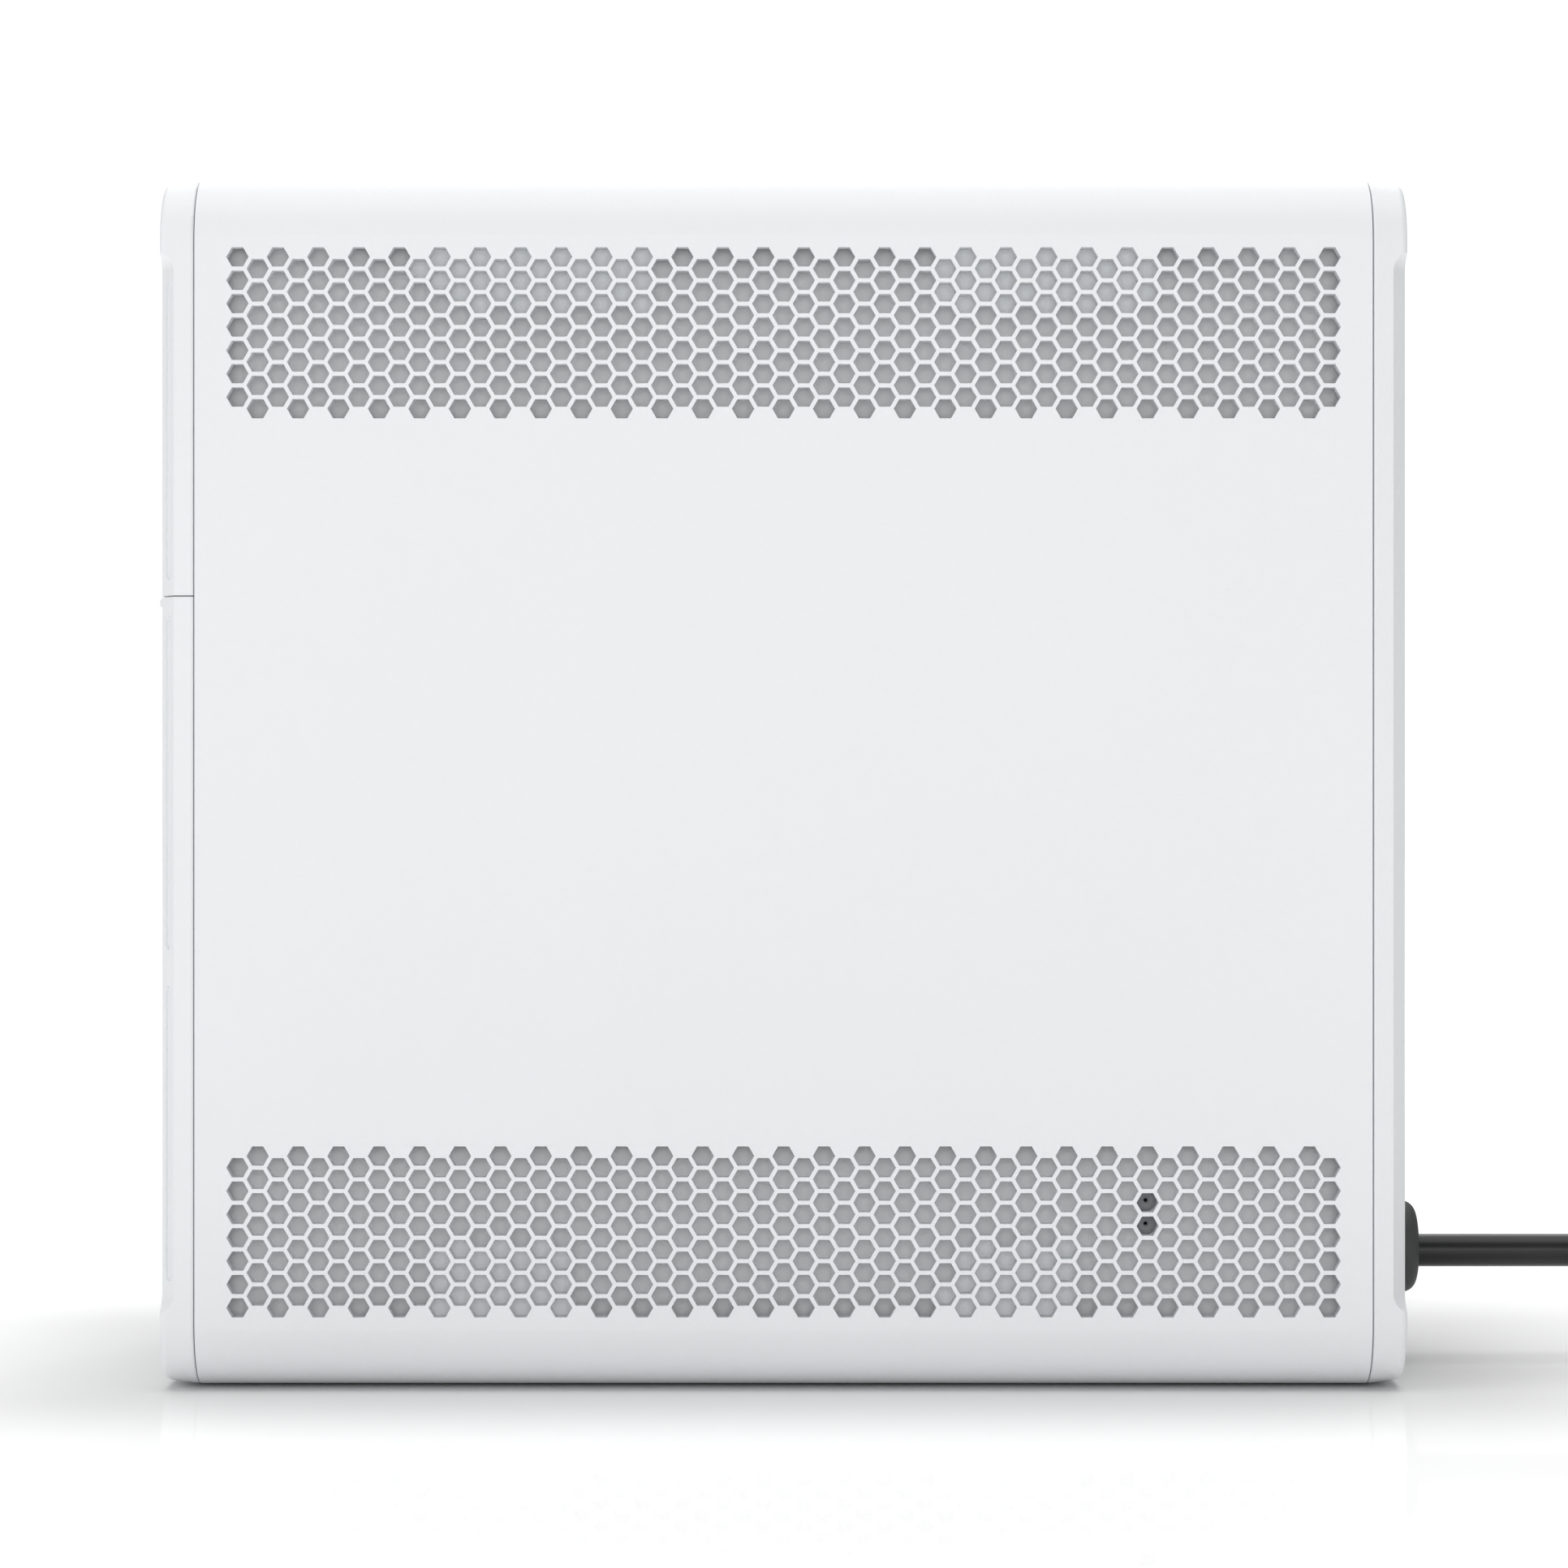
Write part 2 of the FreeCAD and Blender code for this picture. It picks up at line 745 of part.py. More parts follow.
def screw_along_y(x, z, seat_y, shank_end, head_radius=2.8, head_height=1.8):
    """A pan-head screw whose head sits on seat_y and whose shank runs to shank_end."""
    direction = 1 if shank_end > seat_y else -1
    head_top = seat_y - direction * head_height
    head = rod(head_radius, (x, head_top, z), (x, seat_y, z))
    shank = rod(screw_radius - 0.1, (x, seat_y, z), (x, shank_end, z))
    return head.fuse(shank)


# ---- far side: main board and what it carries ----
def main_board_corners():
    for x in (main_board_x[0] + 5, main_board_x[1] - 26):
        for z in (main_board_z[0] + 5, main_board_z[1] - 5):
            yield x, z


def main_board():
    y = (board_y, board_face)
    board = box(main_board_x, y, main_board_z)
    holes = []
    for x, z in main_board_corners():
        holes.append(rod(screw_radius + 0.1, (x, y[0] - 1, z), (x, y[1] + 1, z)))
    return board.cut(holes)


def board_standoffs():
    posts = []
    for x, z in main_board_corners():
        start = chassis_y + chassis_sheet
        post = rod(3.0, (x, start, z), (x, board_y, z))
        bore = rod(screw_radius - 0.1, (x, start + 1.0, z), (x, board_y + 1, z))
        posts.append(post.cut(bore))
    for x, z in power_board_corners():
        start = power_board_face
        post = rod(3.0, (x, start, z), (x, chassis_y, z))
        bore = rod(screw_radius - 0.1, (x, start - 1, z), (x, chassis_y - 1.0, z))
        posts.append(post.cut(bore))
    return group(posts)


def board_screws():
    screws = []
    for x, z in main_board_corners():
        seat = board_face
        screws.append(screw_along_y(x, z, seat, seat - 5.0))
    for x, z in power_board_corners():
        screws.append(screw_along_y(x, z, power_board_y, power_board_y + 5.0))
    return screws


def socket_heights():
    return lan_heights + [wan_height]


def rear_jack(height):
    """Shielded socket: its mouth opens to the rear, with the latch notch on one side."""
    y = (board_face, board_face + jack_height)
    z = (height - jack_width / 2, height + jack_width / 2)
    back = panel_back + 0.4
    shell = box((back - jack_depth, back), y, z)
    mouth_y = (y[0] + 1.9, y[0] + 9.3)
    mouth = box((back - 14.0, back + 1), mouth_y, (height - 5.95, height + 5.95))
    notch_y = (mouth_y[1], mouth_y[1] + 2.3)
    notch = box((back - 12.0, back + 1), notch_y, (height - 3.1, height + 3.1))
    return shell.cut([mouth, notch])


def jack_contacts():
    """Eight sprung wires in each socket."""
    wires = []
    back = panel_back + 0.4
    floor_y = board_face + 1.9
    for height in socket_heights():
        for wire in range(8):
            z = height + (wire - 3.5) * 1.02
            x = (back - 14.0, back - 5.0)
            wires.append(box(x, (floor_y, floor_y + 0.6), (z - 0.22, z + 0.22)))
    return group(wires)


def usb_port():
    y0 = board_face
    back = panel_back + 0.4
    z = (usb_height - usb_width / 2, usb_height + usb_width / 2)
    shell = box((back - 14.0, back), (y0, y0 + usb_depth), z)
    mouth = box((back - 12.5, back + 1), (y0 + 0.4, y0 + 5.3), (z[0] + 0.4, z[1] - 0.4))
    tongue = box((back - 12.5, back - 1.5), (y0 + 3.0, y0 + 4.9), (z[0] + 1.2, z[1] - 1.2))
    return shell.cut(mouth).fuse(tongue)


def reset_switch():
    y0 = board_face
    z = (reset_height - 3.0, reset_height + 3.0)
    return box((panel_front - 8.0, panel_front - 3.8), (y0, y0 + 6.0), z)


def reset_y():
    return board_face + 3.0


def reset_button():
    y, z = reset_y(), reset_height
    flange_end = panel_front - slip_clearance
    stem_start = panel_front - 3.8 + slip_clearance + reset_travel
    stem = rod(reset_radius, (stem_start, y, z), (panel_back - 0.2, y, z))
    flange = rod(reset_radius + 0.9, (flange_end - 0.8, y, z), (flange_end, y, z))
    return stem.fuse(flange)


def processor_heat_sink():
    y0 = board_face + chip_height
    x = (chip_x[0] - 8, chip_x[1] + 8)
    z = (chip_z[0] - 8, chip_z[1] + 8)
    sink = [box(x, (y0, y0 + 3.0), z)]
    fins = 9
    for fin in range(fins):
        start = x[0] + fin * (x[1] - x[0] - 1.2) / (fins - 1)
        sink.append(box((start, start + 1.2), (y0 + 3.0, y0 + 15.0), z))
    return fused(sink)


def board_chips():
    """The processor, its memory and an isolating block beside each pair of sockets."""
    y0 = board_face
    chips = [box(chip_x, (y0, y0 + chip_height), chip_z)]
    for x in (chip_x[1] + 20.0, chip_x[1] + 36.0):
        for z in (chip_z[0], chip_z[0] + 18.0):
            chips.append(box((x, x + 11.0), (y0, y0 + 1.2), (z, z + 14.0)))
    x = (panel_front - 39.9, panel_front - 27.9)
    between_pairs = [(lan_heights[0] + lan_heights[1]) / 2, (lan_heights[2] + lan_heights[3]) / 2]
    for z in between_pairs + [wan_height]:
        chips.append(box(x, (y0, y0 + 5.6), (z - 9.0, z + 9.0)))
    return group(chips)


# ---- near side: power supply ----
def power_board_corners():
    for x in (power_board_x[0] + 5, power_board_x[1] - 5):
        for z in (power_board_z[0] + 5, power_board_z[1] - 5):
            yield x, z


def power_board():
    y = (power_board_y, power_board_face)
    board = box(power_board_x, y, power_board_z)
    holes = []
    for x, z in power_board_corners():
        holes.append(rod(screw_radius + 0.1, (x, y[0] - 1, z), (x, y[1] + 1, z)))
    return board.cut(holes)


def transformer():
    y1 = power_board_y
    x = (terminal_x[0] - transformer_size, terminal_x[0])
    z = (power_board_z[1] - 8.0 - transformer_size, power_board_z[1] - 8.0)
    core = box(x, (y1 - 34.0, y1), z)
    coil = box((x[0] + 4.0, x[1] - 4.0), (y1 - 38.0, y1 - 34.0), (z[0] + 4.0, z[1] - 4.0))
    return core.fuse(coil)


def smoothing_capacitors():
    cans = []
    x, top = terminal_x[0] - 14.0, power_board_y - capacitor_height
    for z in (power_board_z[0] + 12.0, power_board_z[0] + 34.0):
        can = rod(capacitor_radius, (x, top, z), (x, power_board_y, z))
        rim = [edge for edge in can.Edges if edge.BoundBox.YMax < top + 1.0]
        cans.append(can.makeFillet(1.2, rim))
    return group(cans)


def power_heat_sink():
    y1 = power_board_y
    back = terminal_x[0] - 40.0
    z = (power_board_z[0] + 6.0, power_board_z[0] + 44.0)
    blade = [box((back, back + 3.0), (y1 - 32.0, y1), z)]
    for fin in range(5):
        start = y1 - 32.0 + fin * 6.0
        blade.append(box((back + 3.0, back + 11.0), (start, start + 1.6), z))
    return fused(blade)


def terminal_block():
    y = (relief_lead_places()[0] - 4.0, power_board_y)
    return box(terminal_x, y, (terminal_low, terminal_low + 12.0))


def relief_lead_places():
    return (-2.6, 0.0, 2.6)


# ---- leads: straight runs joined by tangent arcs ----
def tube_path(points):
    """Wire through the route, with each corner rounded as far as its two runs allow."""
    corners = [Vector(*point) for point in points]
    edges, radii, start = [], [], corners[0]
    for before, corner, after in zip(corners, corners[1:], corners[2:]):
        run_in, run_out = corner - before, after - corner
        turn = run_in.getAngle(run_out)
        trim = 0.45 * min(run_in.Length, run_out.Length)
        radii.append(trim / math.tan(turn / 2))
        first = corner - Vector(run_in).normalize() * trim
        last = corner + Vector(run_out).normalize() * trim
        inward = (first + last) * 0.5 - corner
        sagitta = radii[-1] / math.cos(turn / 2) - radii[-1]
        middle = corner + inward.normalize() * sagitta
        edges.append(Part.LineSegment(start, first).toShape())
        edges.append(Part.Arc(first, middle, last).toShape())
        start = last
    edges.append(Part.LineSegment(start, corners[-1]).toShape())
    return Part.Wire(edges), radii


def tube(points, radius):
    path, radii = tube_path(points)
    start = Vector(*points[0])
    direction = Vector(*points[1]) - start
    circle = Part.Wire(Part.makeCircle(radius, start, direction))
    solid = path.makePipeShell([circle], True, True)
    return solid, path.Length, radii


def mains_leads():
    leads = []
    for y in relief_lead_places():
        x = (terminal_x[0] + terminal_x[1]) / 2
        route = [(relief_inner_x, y, relief_height), (x, y, relief_height), (x, y, terminal_low)]
        leads.append(tube(route, lead_radius)[0])
    return leads


def battery_leads():
    leads = []
    start_x = bay_rear + bay_sheet + 9.0
    for y, rise in zip(terminal_y, (4.0, -4.0)):
        z = 61.0 + rise
        turn_x = start_x + 5.0
        end = (power_board_x[0] + 2.5, power_board_y, z)
        route = [(start_x, y, z), (turn_x + 2.0, y, z), (end[0], y + 8.0, z), end]
        leads.append(tube(route, lead_radius)[0])
    return leads


def fan_lead():
    x, z = fan_lead_x, fan_lead_z
    start = panel_front - fan_depth
    route = [(start, 6.0, z), (x, 6.0, z), (x, board_y, z)]
    return tube(route, lead_radius)[0]


def front_cable():
    x, z = front_cable_x, front_cable_z
    start = frame_back + board_thickness
    y = board_face + 3.0
    route = [(start, 6.0, z), (x, 6.0, z), (x, y, z), (main_board_x[0] - 4.0, y, z)]
    y0 = board_face
    plug_x = (main_board_x[0] - 4.0, main_board_x[0] + 8.0)
    plug = box(plug_x, (y0, y0 + 6.0), (z - 5.0, z + 5.0))
    return tube(route, front_cable_radius)[0].fuse(plug)


# ---- radio and antennas on a tray above the steel ----
def antenna_tray():
    z = (chassis_top, chassis_top + tray_thickness)
    tray = [box(tray_x, (-44.0, 44.0), z)]
    for ax in antenna_starts:
        for side in (-1, 1):
            y = side * (antenna_y + antenna_size[1] / 2)
            clip_y = sorted((y, y + side * 2.0))
            tray.append(box((ax + 6, ax + antenna_size[0] - 6), clip_y, (z[1], z[1] + 8.0)))
    return fused(tray)


def antenna(start_x, side):
    z = chassis_top + tray_thickness
    y = side * antenna_y
    half = antenna_size[1] / 2
    x = (start_x, start_x + antenna_size[0])
    return box(x, (y - half, y + half), (z, z + antenna_size[2]))


def radio_board():
    z = chassis_top + tray_thickness
    return box(radio_x, (-radio_half_y, radio_half_y), (z, z + board_thickness))


def radio_shield():
    z = chassis_top + tray_thickness + board_thickness
    x = (radio_x[0] + 10, radio_x[1] - 10)
    can = box(x, (-15.0, 15.0), (z, z + 5.0))
    return can.cut(box((x[0] + 0.4, x[1] - 0.4), (-14.6, 14.6), (z, z + 4.6)))


def antenna_leads():
    leads = []
    z = chassis_top + tray_thickness + board_thickness + 0.7
    for start_x in antenna_starts:
        for side in (-1, 1):
            inward = radio_x[0] if start_x < 0 else radio_x[1]
            out = -1 if start_x < 0 else 1
            x = inward + out * 38.0
            end_y = side * (antenna_y - antenna_size[1] / 2)
            route = [(inward + out * -3, side * 12.0, z), (x, side * 12.0, z), (x, end_y, z)]
            leads.append(tube(route, 0.6)[0])
    return group(leads)


# ---- rear end ----
def rear_bezel():
    block = bezel_block(rear_seam + seam_gap / 2, rear_x)
    tools = []
    for side in (-1, 1):
        tools.append(along_scoop(scoop_cutter(), rear_x, 1, side))
    block = block.cut(tools)
    y = half_width - bezel_wall
    z = (bottom_z + bezel_wall, top_z - bezel_wall)
    pocket = rounded_box((rear_seam, panel_back), (-y, y), z, corner_radius - bezel_wall, "x")
    y = half_width - rear_frame_width
    z = (bottom_z + rear_frame_width, top_z - rear_frame_width)
    opening = rounded_box((rear_seam, rear_x + 1), (-y, y), z, corner_radius - rear_frame_width, "x")
    return block.cut([pocket, opening])


def rear_cell_places():
    """Honeycomb cells that lie inside the fan's circle."""
    for column in range(-6, 7):
        for row in range(-6, 7):
            y = column * column_pitch
            z = (row + (column % 2) / 2) * cell_pitch
            if math.hypot(y, z) < fan_bore_radius - cell_flats / 2:
                yield fan_y + y, fan_z + z


def fan_screw_places():
    for y in (-fan_screw_spread, fan_screw_spread):
        for z in (-fan_screw_spread, fan_screw_spread):
            yield fan_y + y, fan_z + z


def panel_screw_places():
    for y in (-panel_screw_spread, panel_screw_spread):
        for z in (bottom_z + panel_screw_inset, centre_z, top_z - panel_screw_inset):
            yield y, z


def rear_panel():
    y = half_width - bezel_wall - seat_clearance
    z = (bottom_z + bezel_wall + seat_clearance, top_z - bezel_wall - seat_clearance)
    radius = corner_radius - bezel_wall - seat_clearance
    panel = rounded_box((panel_front, panel_back), (-y, y), z, radius, "x")
    span = (panel_front - 1, panel_back + 1)
    tools = []
    for cell_y, cell_z in rear_cell_places():
        cell = hexagon(0, 0, 0, cell_flats)
        cell.rotate(Vector(0, 0, 0), Vector(0, 0, 1), -90)
        cell.translate(Vector(span[0], cell_y, cell_z))
        tools.append(Part.Face(cell).extrude(Vector(span[1] - span[0], 0, 0)))
    y0 = board_face
    for height in socket_heights():
        hole_z = (height - jack_width / 2 - seat_clearance, height + jack_width / 2 + seat_clearance)
        tools.append(box(span, (y0 - seat_clearance, y0 + jack_height + seat_clearance), hole_z))
    usb_reach = usb_width / 2 + seat_clearance
    usb_z = (usb_height - usb_reach, usb_height + usb_reach)
    tools.append(box(span, (y0 - seat_clearance, y0 + usb_depth + seat_clearance), usb_z))
    bore = reset_radius + slip_clearance
    ends = ((span[0], reset_y(), reset_height), (span[1], reset_y(), reset_height))
    tools.append(rod(bore, *ends))
    tools.append(rod(relief_neck, (span[0], 0, relief_height), (span[1], 0, relief_height)))
    tools.append(rocker_cutout(span))
    for hole_y, hole_z in list(fan_screw_places()) + list(panel_screw_places()):
        ends = ((span[0], hole_y, hole_z), (span[1], hole_y, hole_z))
        tools.append(rod(screw_radius + 0.1, *ends))
    return panel.cut(tools)


def panel_screws():
    """The six screws that hold the rear panel to the bezel's blocks."""
    screws = []
    for y, z in panel_screw_places():
        head = rod(3.0, (panel_back, y, z), (panel_back + 1.8, y, z))
        rim = [edge for edge in head.Edges if edge.BoundBox.XMin > panel_back + 1.7]
        head = head.makeFillet(0.7, rim)
        recess = box((panel_back + 1.0, panel_back + 3), (y - 1.9, y + 1.9), (z - 0.4, z + 0.4))
        cross = box((panel_back + 1.0, panel_back + 3), (y - 0.4, y + 0.4), (z - 1.9, z + 1.9))
        shank = rod(screw_radius, (panel_back - 6.0, y, z), (panel_back, y, z))
        screws.append(head.fuse(shank).cut([recess, cross]))
    return screws


def panel_blocks():
    """Moulded blocks inside the case that the panel's screws bite into."""
    blocks = []
    for y, z in panel_screw_places():
        outer = math.copysign(half_width - sleeve_wall - 1.0, y)
        inner = y - math.copysign(4.5, y)
        block = box((panel_front - 9.0, panel_front), sorted((inner, outer)), (z - 4.5, z + 4.5))
        bore = rod(screw_radius, (panel_front - 8.0, y, z), (panel_front, y, z))
        blocks.append(block.cut(bore))
    return group(blocks)


def fan_screws():
    screws = []
    for y, z in fan_screw_places():
        head = rod(2.9, (panel_back, y, z), (panel_back + 1.6, y, z))
        shank = rod(screw_radius, (panel_back - 7.0, y, z), (panel_back, y, z))
        slot = box((panel_back + 0.9, panel_back + 3), (y - 1.8, y + 1.8), (z - 0.4, z + 0.4))
        screws.append(head.fuse(shank).cut(slot))
    return screws


def fan_frame():
    half = fan_size / 2
    x = (panel_front - fan_depth, panel_front)
    frame = rounded_box(x, (fan_y - half, fan_y + half), (fan_z - half, fan_z + half), 3.0, "x")
    frame = frame.cut(rod(fan_bore_radius, (x[0] - 1, fan_y, fan_z), (x[1] + 1, fan_y, fan_z)))
    struts = [rod(fan_hub_radius, (x[0], fan_y, fan_z), (x[0] + 4.0, fan_y, fan_z))]
    for turn in range(4):
        strut = box((x[0], x[0] + 2.5), (fan_y + 8.0, fan_y + half - 1.0), (fan_z - 1.5, fan_z + 1.5))
        strut.rotate(Vector(0, fan_y, fan_z), Vector(1, 0, 0), 45 + 90 * turn)
        struts.append(strut)
    sleeve = rod(4.0, (x[0] + 4.0, fan_y, fan_z), (x[0] + 16.0, fan_y, fan_z))
    frame = fused([frame] + struts + [sleeve])
    bore = rod(fan_shaft_radius + shaft_clearance, (x[0] + 2.0, fan_y, fan_z), (x[1], fan_y, fan_z))
    tools = [bore]
    for y, z in fan_screw_places():
        tools.append(rod(screw_radius, (x[1] - 8.0, y, z), (x[1] + 1, y, z)))
    return frame.cut(tools)


def fan_rotor():
    x0 = panel_front - fan_depth
    hub_end = x0 + 21.0
    hub = rod(fan_hub_radius, (x0 + 4.6, fan_y, fan_z), (hub_end, fan_y, fan_z))
    hub = hub.cut(rod(fan_hub_radius - 1.6, (x0 + 4, fan_y, fan_z), (hub_end - 1.6, fan_y, fan_z)))
    shaft = rod(fan_shaft_radius, (x0 + 2.4, fan_y, fan_z), (hub_end - 1.0, fan_y, fan_z))
    blades = []
    tip = fan_bore_radius - 1.0
    for blade in range(7):
        plank = box((-0.6, 0.6), (fan_hub_radius - 0.8, tip - 0.6), (-9.5, 9.5))
        plank.rotate(Vector(0, 0, 0), Vector(0, 1, 0), 52.0)
        plank.translate(Vector(x0 + 13.0, 0, 0))
        plank.rotate(Vector(0, 0, 0), Vector(1, 0, 0), 360.0 * blade / 7)
        plank.translate(Vector(0, fan_y, fan_z))
        blades.append(plank)
    sweep = rod(tip, (x0 + 5.0, fan_y, fan_z), (x0 + 21.0, fan_y, fan_z))
    core = rod(fan_hub_radius - 0.8, (x0, fan_y, fan_z), (x0 + 25.0, fan_y, fan_z))
    trimmed = []
    for plank in blades:
        trimmed.append(plank.common(sweep).cut(core))
    return fused([hub, shaft] + trimmed)


# ---- mains switch ----
def rocker_cutout(span):
    y = rocker_half_width + rocker_wall + 0.5
    z = rocker_half_height + 0.6 + rocker_wall
    return box(span, (rocker_y - y, rocker_y + y), (rocker_z - z, rocker_z + z))


def rocker_housing():
    y = rocker_half_width + rocker_wall + 0.4
    z = rocker_half_height + 0.5 + rocker_wall
    front = panel_back - 15.0
    body = box((front, panel_back), (rocker_y - y, rocker_y + y), (rocker_z - z, rocker_z + z))
    rim_y = (rocker_y - y - 1.6, rocker_y + y + 1.6)
    rim_z = (rocker_z - z - 1.6, rocker_z + z + 1.6)
    rim = rounded_box((panel_back, panel_back + 1.4), rim_y, rim_z, 1.0, "x")
    well_y = (rocker_y - rocker_half_width - 0.4, rocker_y + rocker_half_width + 0.4)
    well_z = (rocker_z - rocker_half_height - 0.5, rocker_z + rocker_half_height + 0.5)
    well = box((front + 4.0, panel_back + 2), well_y, well_z)
    pin_ends = [(rocker_pivot_x, rocker_y + side * (y + 1), rocker_z) for side in (-1, 1)]
    pin_hole = rod(rocker_pin_radius + shaft_clearance, *pin_ends)
    tabs = []
    for tab_z in (rocker_z - 5.0, rocker_z + 5.0):
        tab_y = (rocker_y - 0.4, rocker_y + 0.4)
        tabs.append(box((front - 7.0, front), tab_y, (tab_z - 2.4, tab_z + 2.4)))
    return fused([body, rim]).cut([well, pin_hole]).fuse(tabs)


def power_rocker():
    """Shallow V-backed rocker, tilted to its off side at rest."""
    x0 = rocker_pivot_x
    half = rocker_half_height
    valley, crest, base = 1.6, 3.2, -4.2
    points = [(base, -half * 0.55), (valley - 2.2, -half), (crest, -half + 0.5), (valley, 0.0)]
    points += [(crest, half - 0.5), (valley - 2.2, half), (base, half * 0.55)]
    near = rocker_y - rocker_half_width
    corners = [Vector(x0 + x, near, rocker_z + z) for x, z in points + points[:1]]
    body = Part.Face(Part.makePolygon(corners)).extrude(Vector(0, 2 * rocker_half_width, 0))
    pin_reach = rocker_half_width + 0.4 + rocker_wall
    pin_ends = ((x0, rocker_y - pin_reach, rocker_z), (x0, rocker_y + pin_reach, rocker_z))
    pin = rod(rocker_pin_radius, *pin_ends)
    rocker = body.fuse(pin)
    rocker.rotate(Vector(x0, rocker_y, rocker_z), Vector(0, 1, 0), rocker_tilt)
    return rocker


# ---- cord, its strain relief, coil and plug ----
def strain_relief():
    """Rubber bush gripped by the panel, with a soft rounded head outside."""
    head = rod(relief_radius, (panel_back, 0, relief_height), (relief_end, 0, relief_height))
    rims = []
    for edge in head.Edges:
        if edge.BoundBox.XLength < 0.001:
            rims.append(edge)
    outer_rim = [edge for edge in rims if edge.BoundBox.XMin > panel_back + 1]
    head = head.makeFillet(relief_rounding, outer_rim)
    neck = rod(relief_neck, (panel_front, 0, relief_height), (panel_back, 0, relief_height))
    collar = rod(relief_neck + 1.6, (relief_inner_x, 0, relief_height), (panel_front, 0, relief_height))
    return fused([head, neck, collar])


def cord_route():
    """From the strain relief straight out, down to the floor, and along to the coil."""
    exit_point = (relief_end, 0.0, cord_exit_height)
    on_floor = cord_radius + 0.1
    return [
        exit_point,
        (205.0, 0.0, cord_exit_height),
        (233.0, -11.7, on_floor),
        (256.0, -21.4, on_floor),
    ]


def coil_outer():
    return coil_middle_radius + coil_half_width


def cord_coil():
    """Outer shape of the turns that lie beside and on each other."""
    x, y = coil_centre_x, coil_centre_y
    height = cord_diameter + (coil_layers - 1) * coil_pitch
    outer = rod(coil_outer(), (x, y, 0), (x, y, height))
    inner = rod(coil_middle_radius - coil_half_width, (x, y, 0), (x, y, height))
    ring = outer.cut(inner)
    rims = [edge for edge in ring.Edges if edge.BoundBox.ZLength < 0.001]
    return ring.makeFillet(2.4, rims)


def tail_line():
    """Where the last turn leaves the coil, and which way it points."""
    angle = math.radians(tail_angle)
    radius = coil_outer() - cord_radius
    x = coil_centre_x + radius * math.cos(angle)
    y = coil_centre_y + radius * math.sin(angle)
    return Vector(x, y, cord_radius + coil_pitch), Vector(-math.sin(angle), math.cos(angle), 0)


def cord_tail():
    start, direction = tail_line()
    return Part.makeCylinder(cord_radius, tail_length, start, direction)


def on_tail(shape):
    """Carries a shape drawn along +X to the end of the tail."""
    start, direction = tail_line()
    heading = math.degrees(math.atan2(direction.y, direction.x))
    shape.rotate(Vector(0, 0, 0), Vector(0, 0, 1), heading)
    shape.translate(start + direction * tail_length)
    return shape


def mains_plug():
    half_z = cord_radius + coil_pitch
    along = Vector(1, 0, 0)
    boot = Part.makeCone(cord_radius + 0.9, 2 * cord_radius, plug_boot_length, Vector(0, 0, 0), along)
    neck = plug_boot_length - 2.0
    y = (-plug_width / 2, plug_width / 2)
    body = rounded_box((neck, plug_length), y, (-half_z, half_z), 5.0, "x")
    rims = [edge for edge in body.Edges if edge.BoundBox.XMax < neck + 0.01]
    body = body.makeFillet(2.5, rims)
    return on_tail(boot.fuse(body))


def plug_pins():
    blades = []
    for y in (-6.35, 6.35):
        blades.append(box((plug_length, plug_length + plug_pin_length), (y - 0.75, y + 0.75), (-0.5, 5.8)))
    earth_end = plug_length + plug_pin_length + 2
    blades.append(rod(2.4, (plug_length, 0, -6.5), (earth_end, 0, -6.5)))
    return on_tail(group(blades))


def cord_report(solid, length, radii):
    expected = math.pi * cord_radius ** 2 * length
    print(f"cord tube: length {length:.1f} mm, volume ratio {solid.Volume / expected:.4f}")
    print("cord tube radii:", ", ".join(f"{radius:.1f}" for radius in radii))


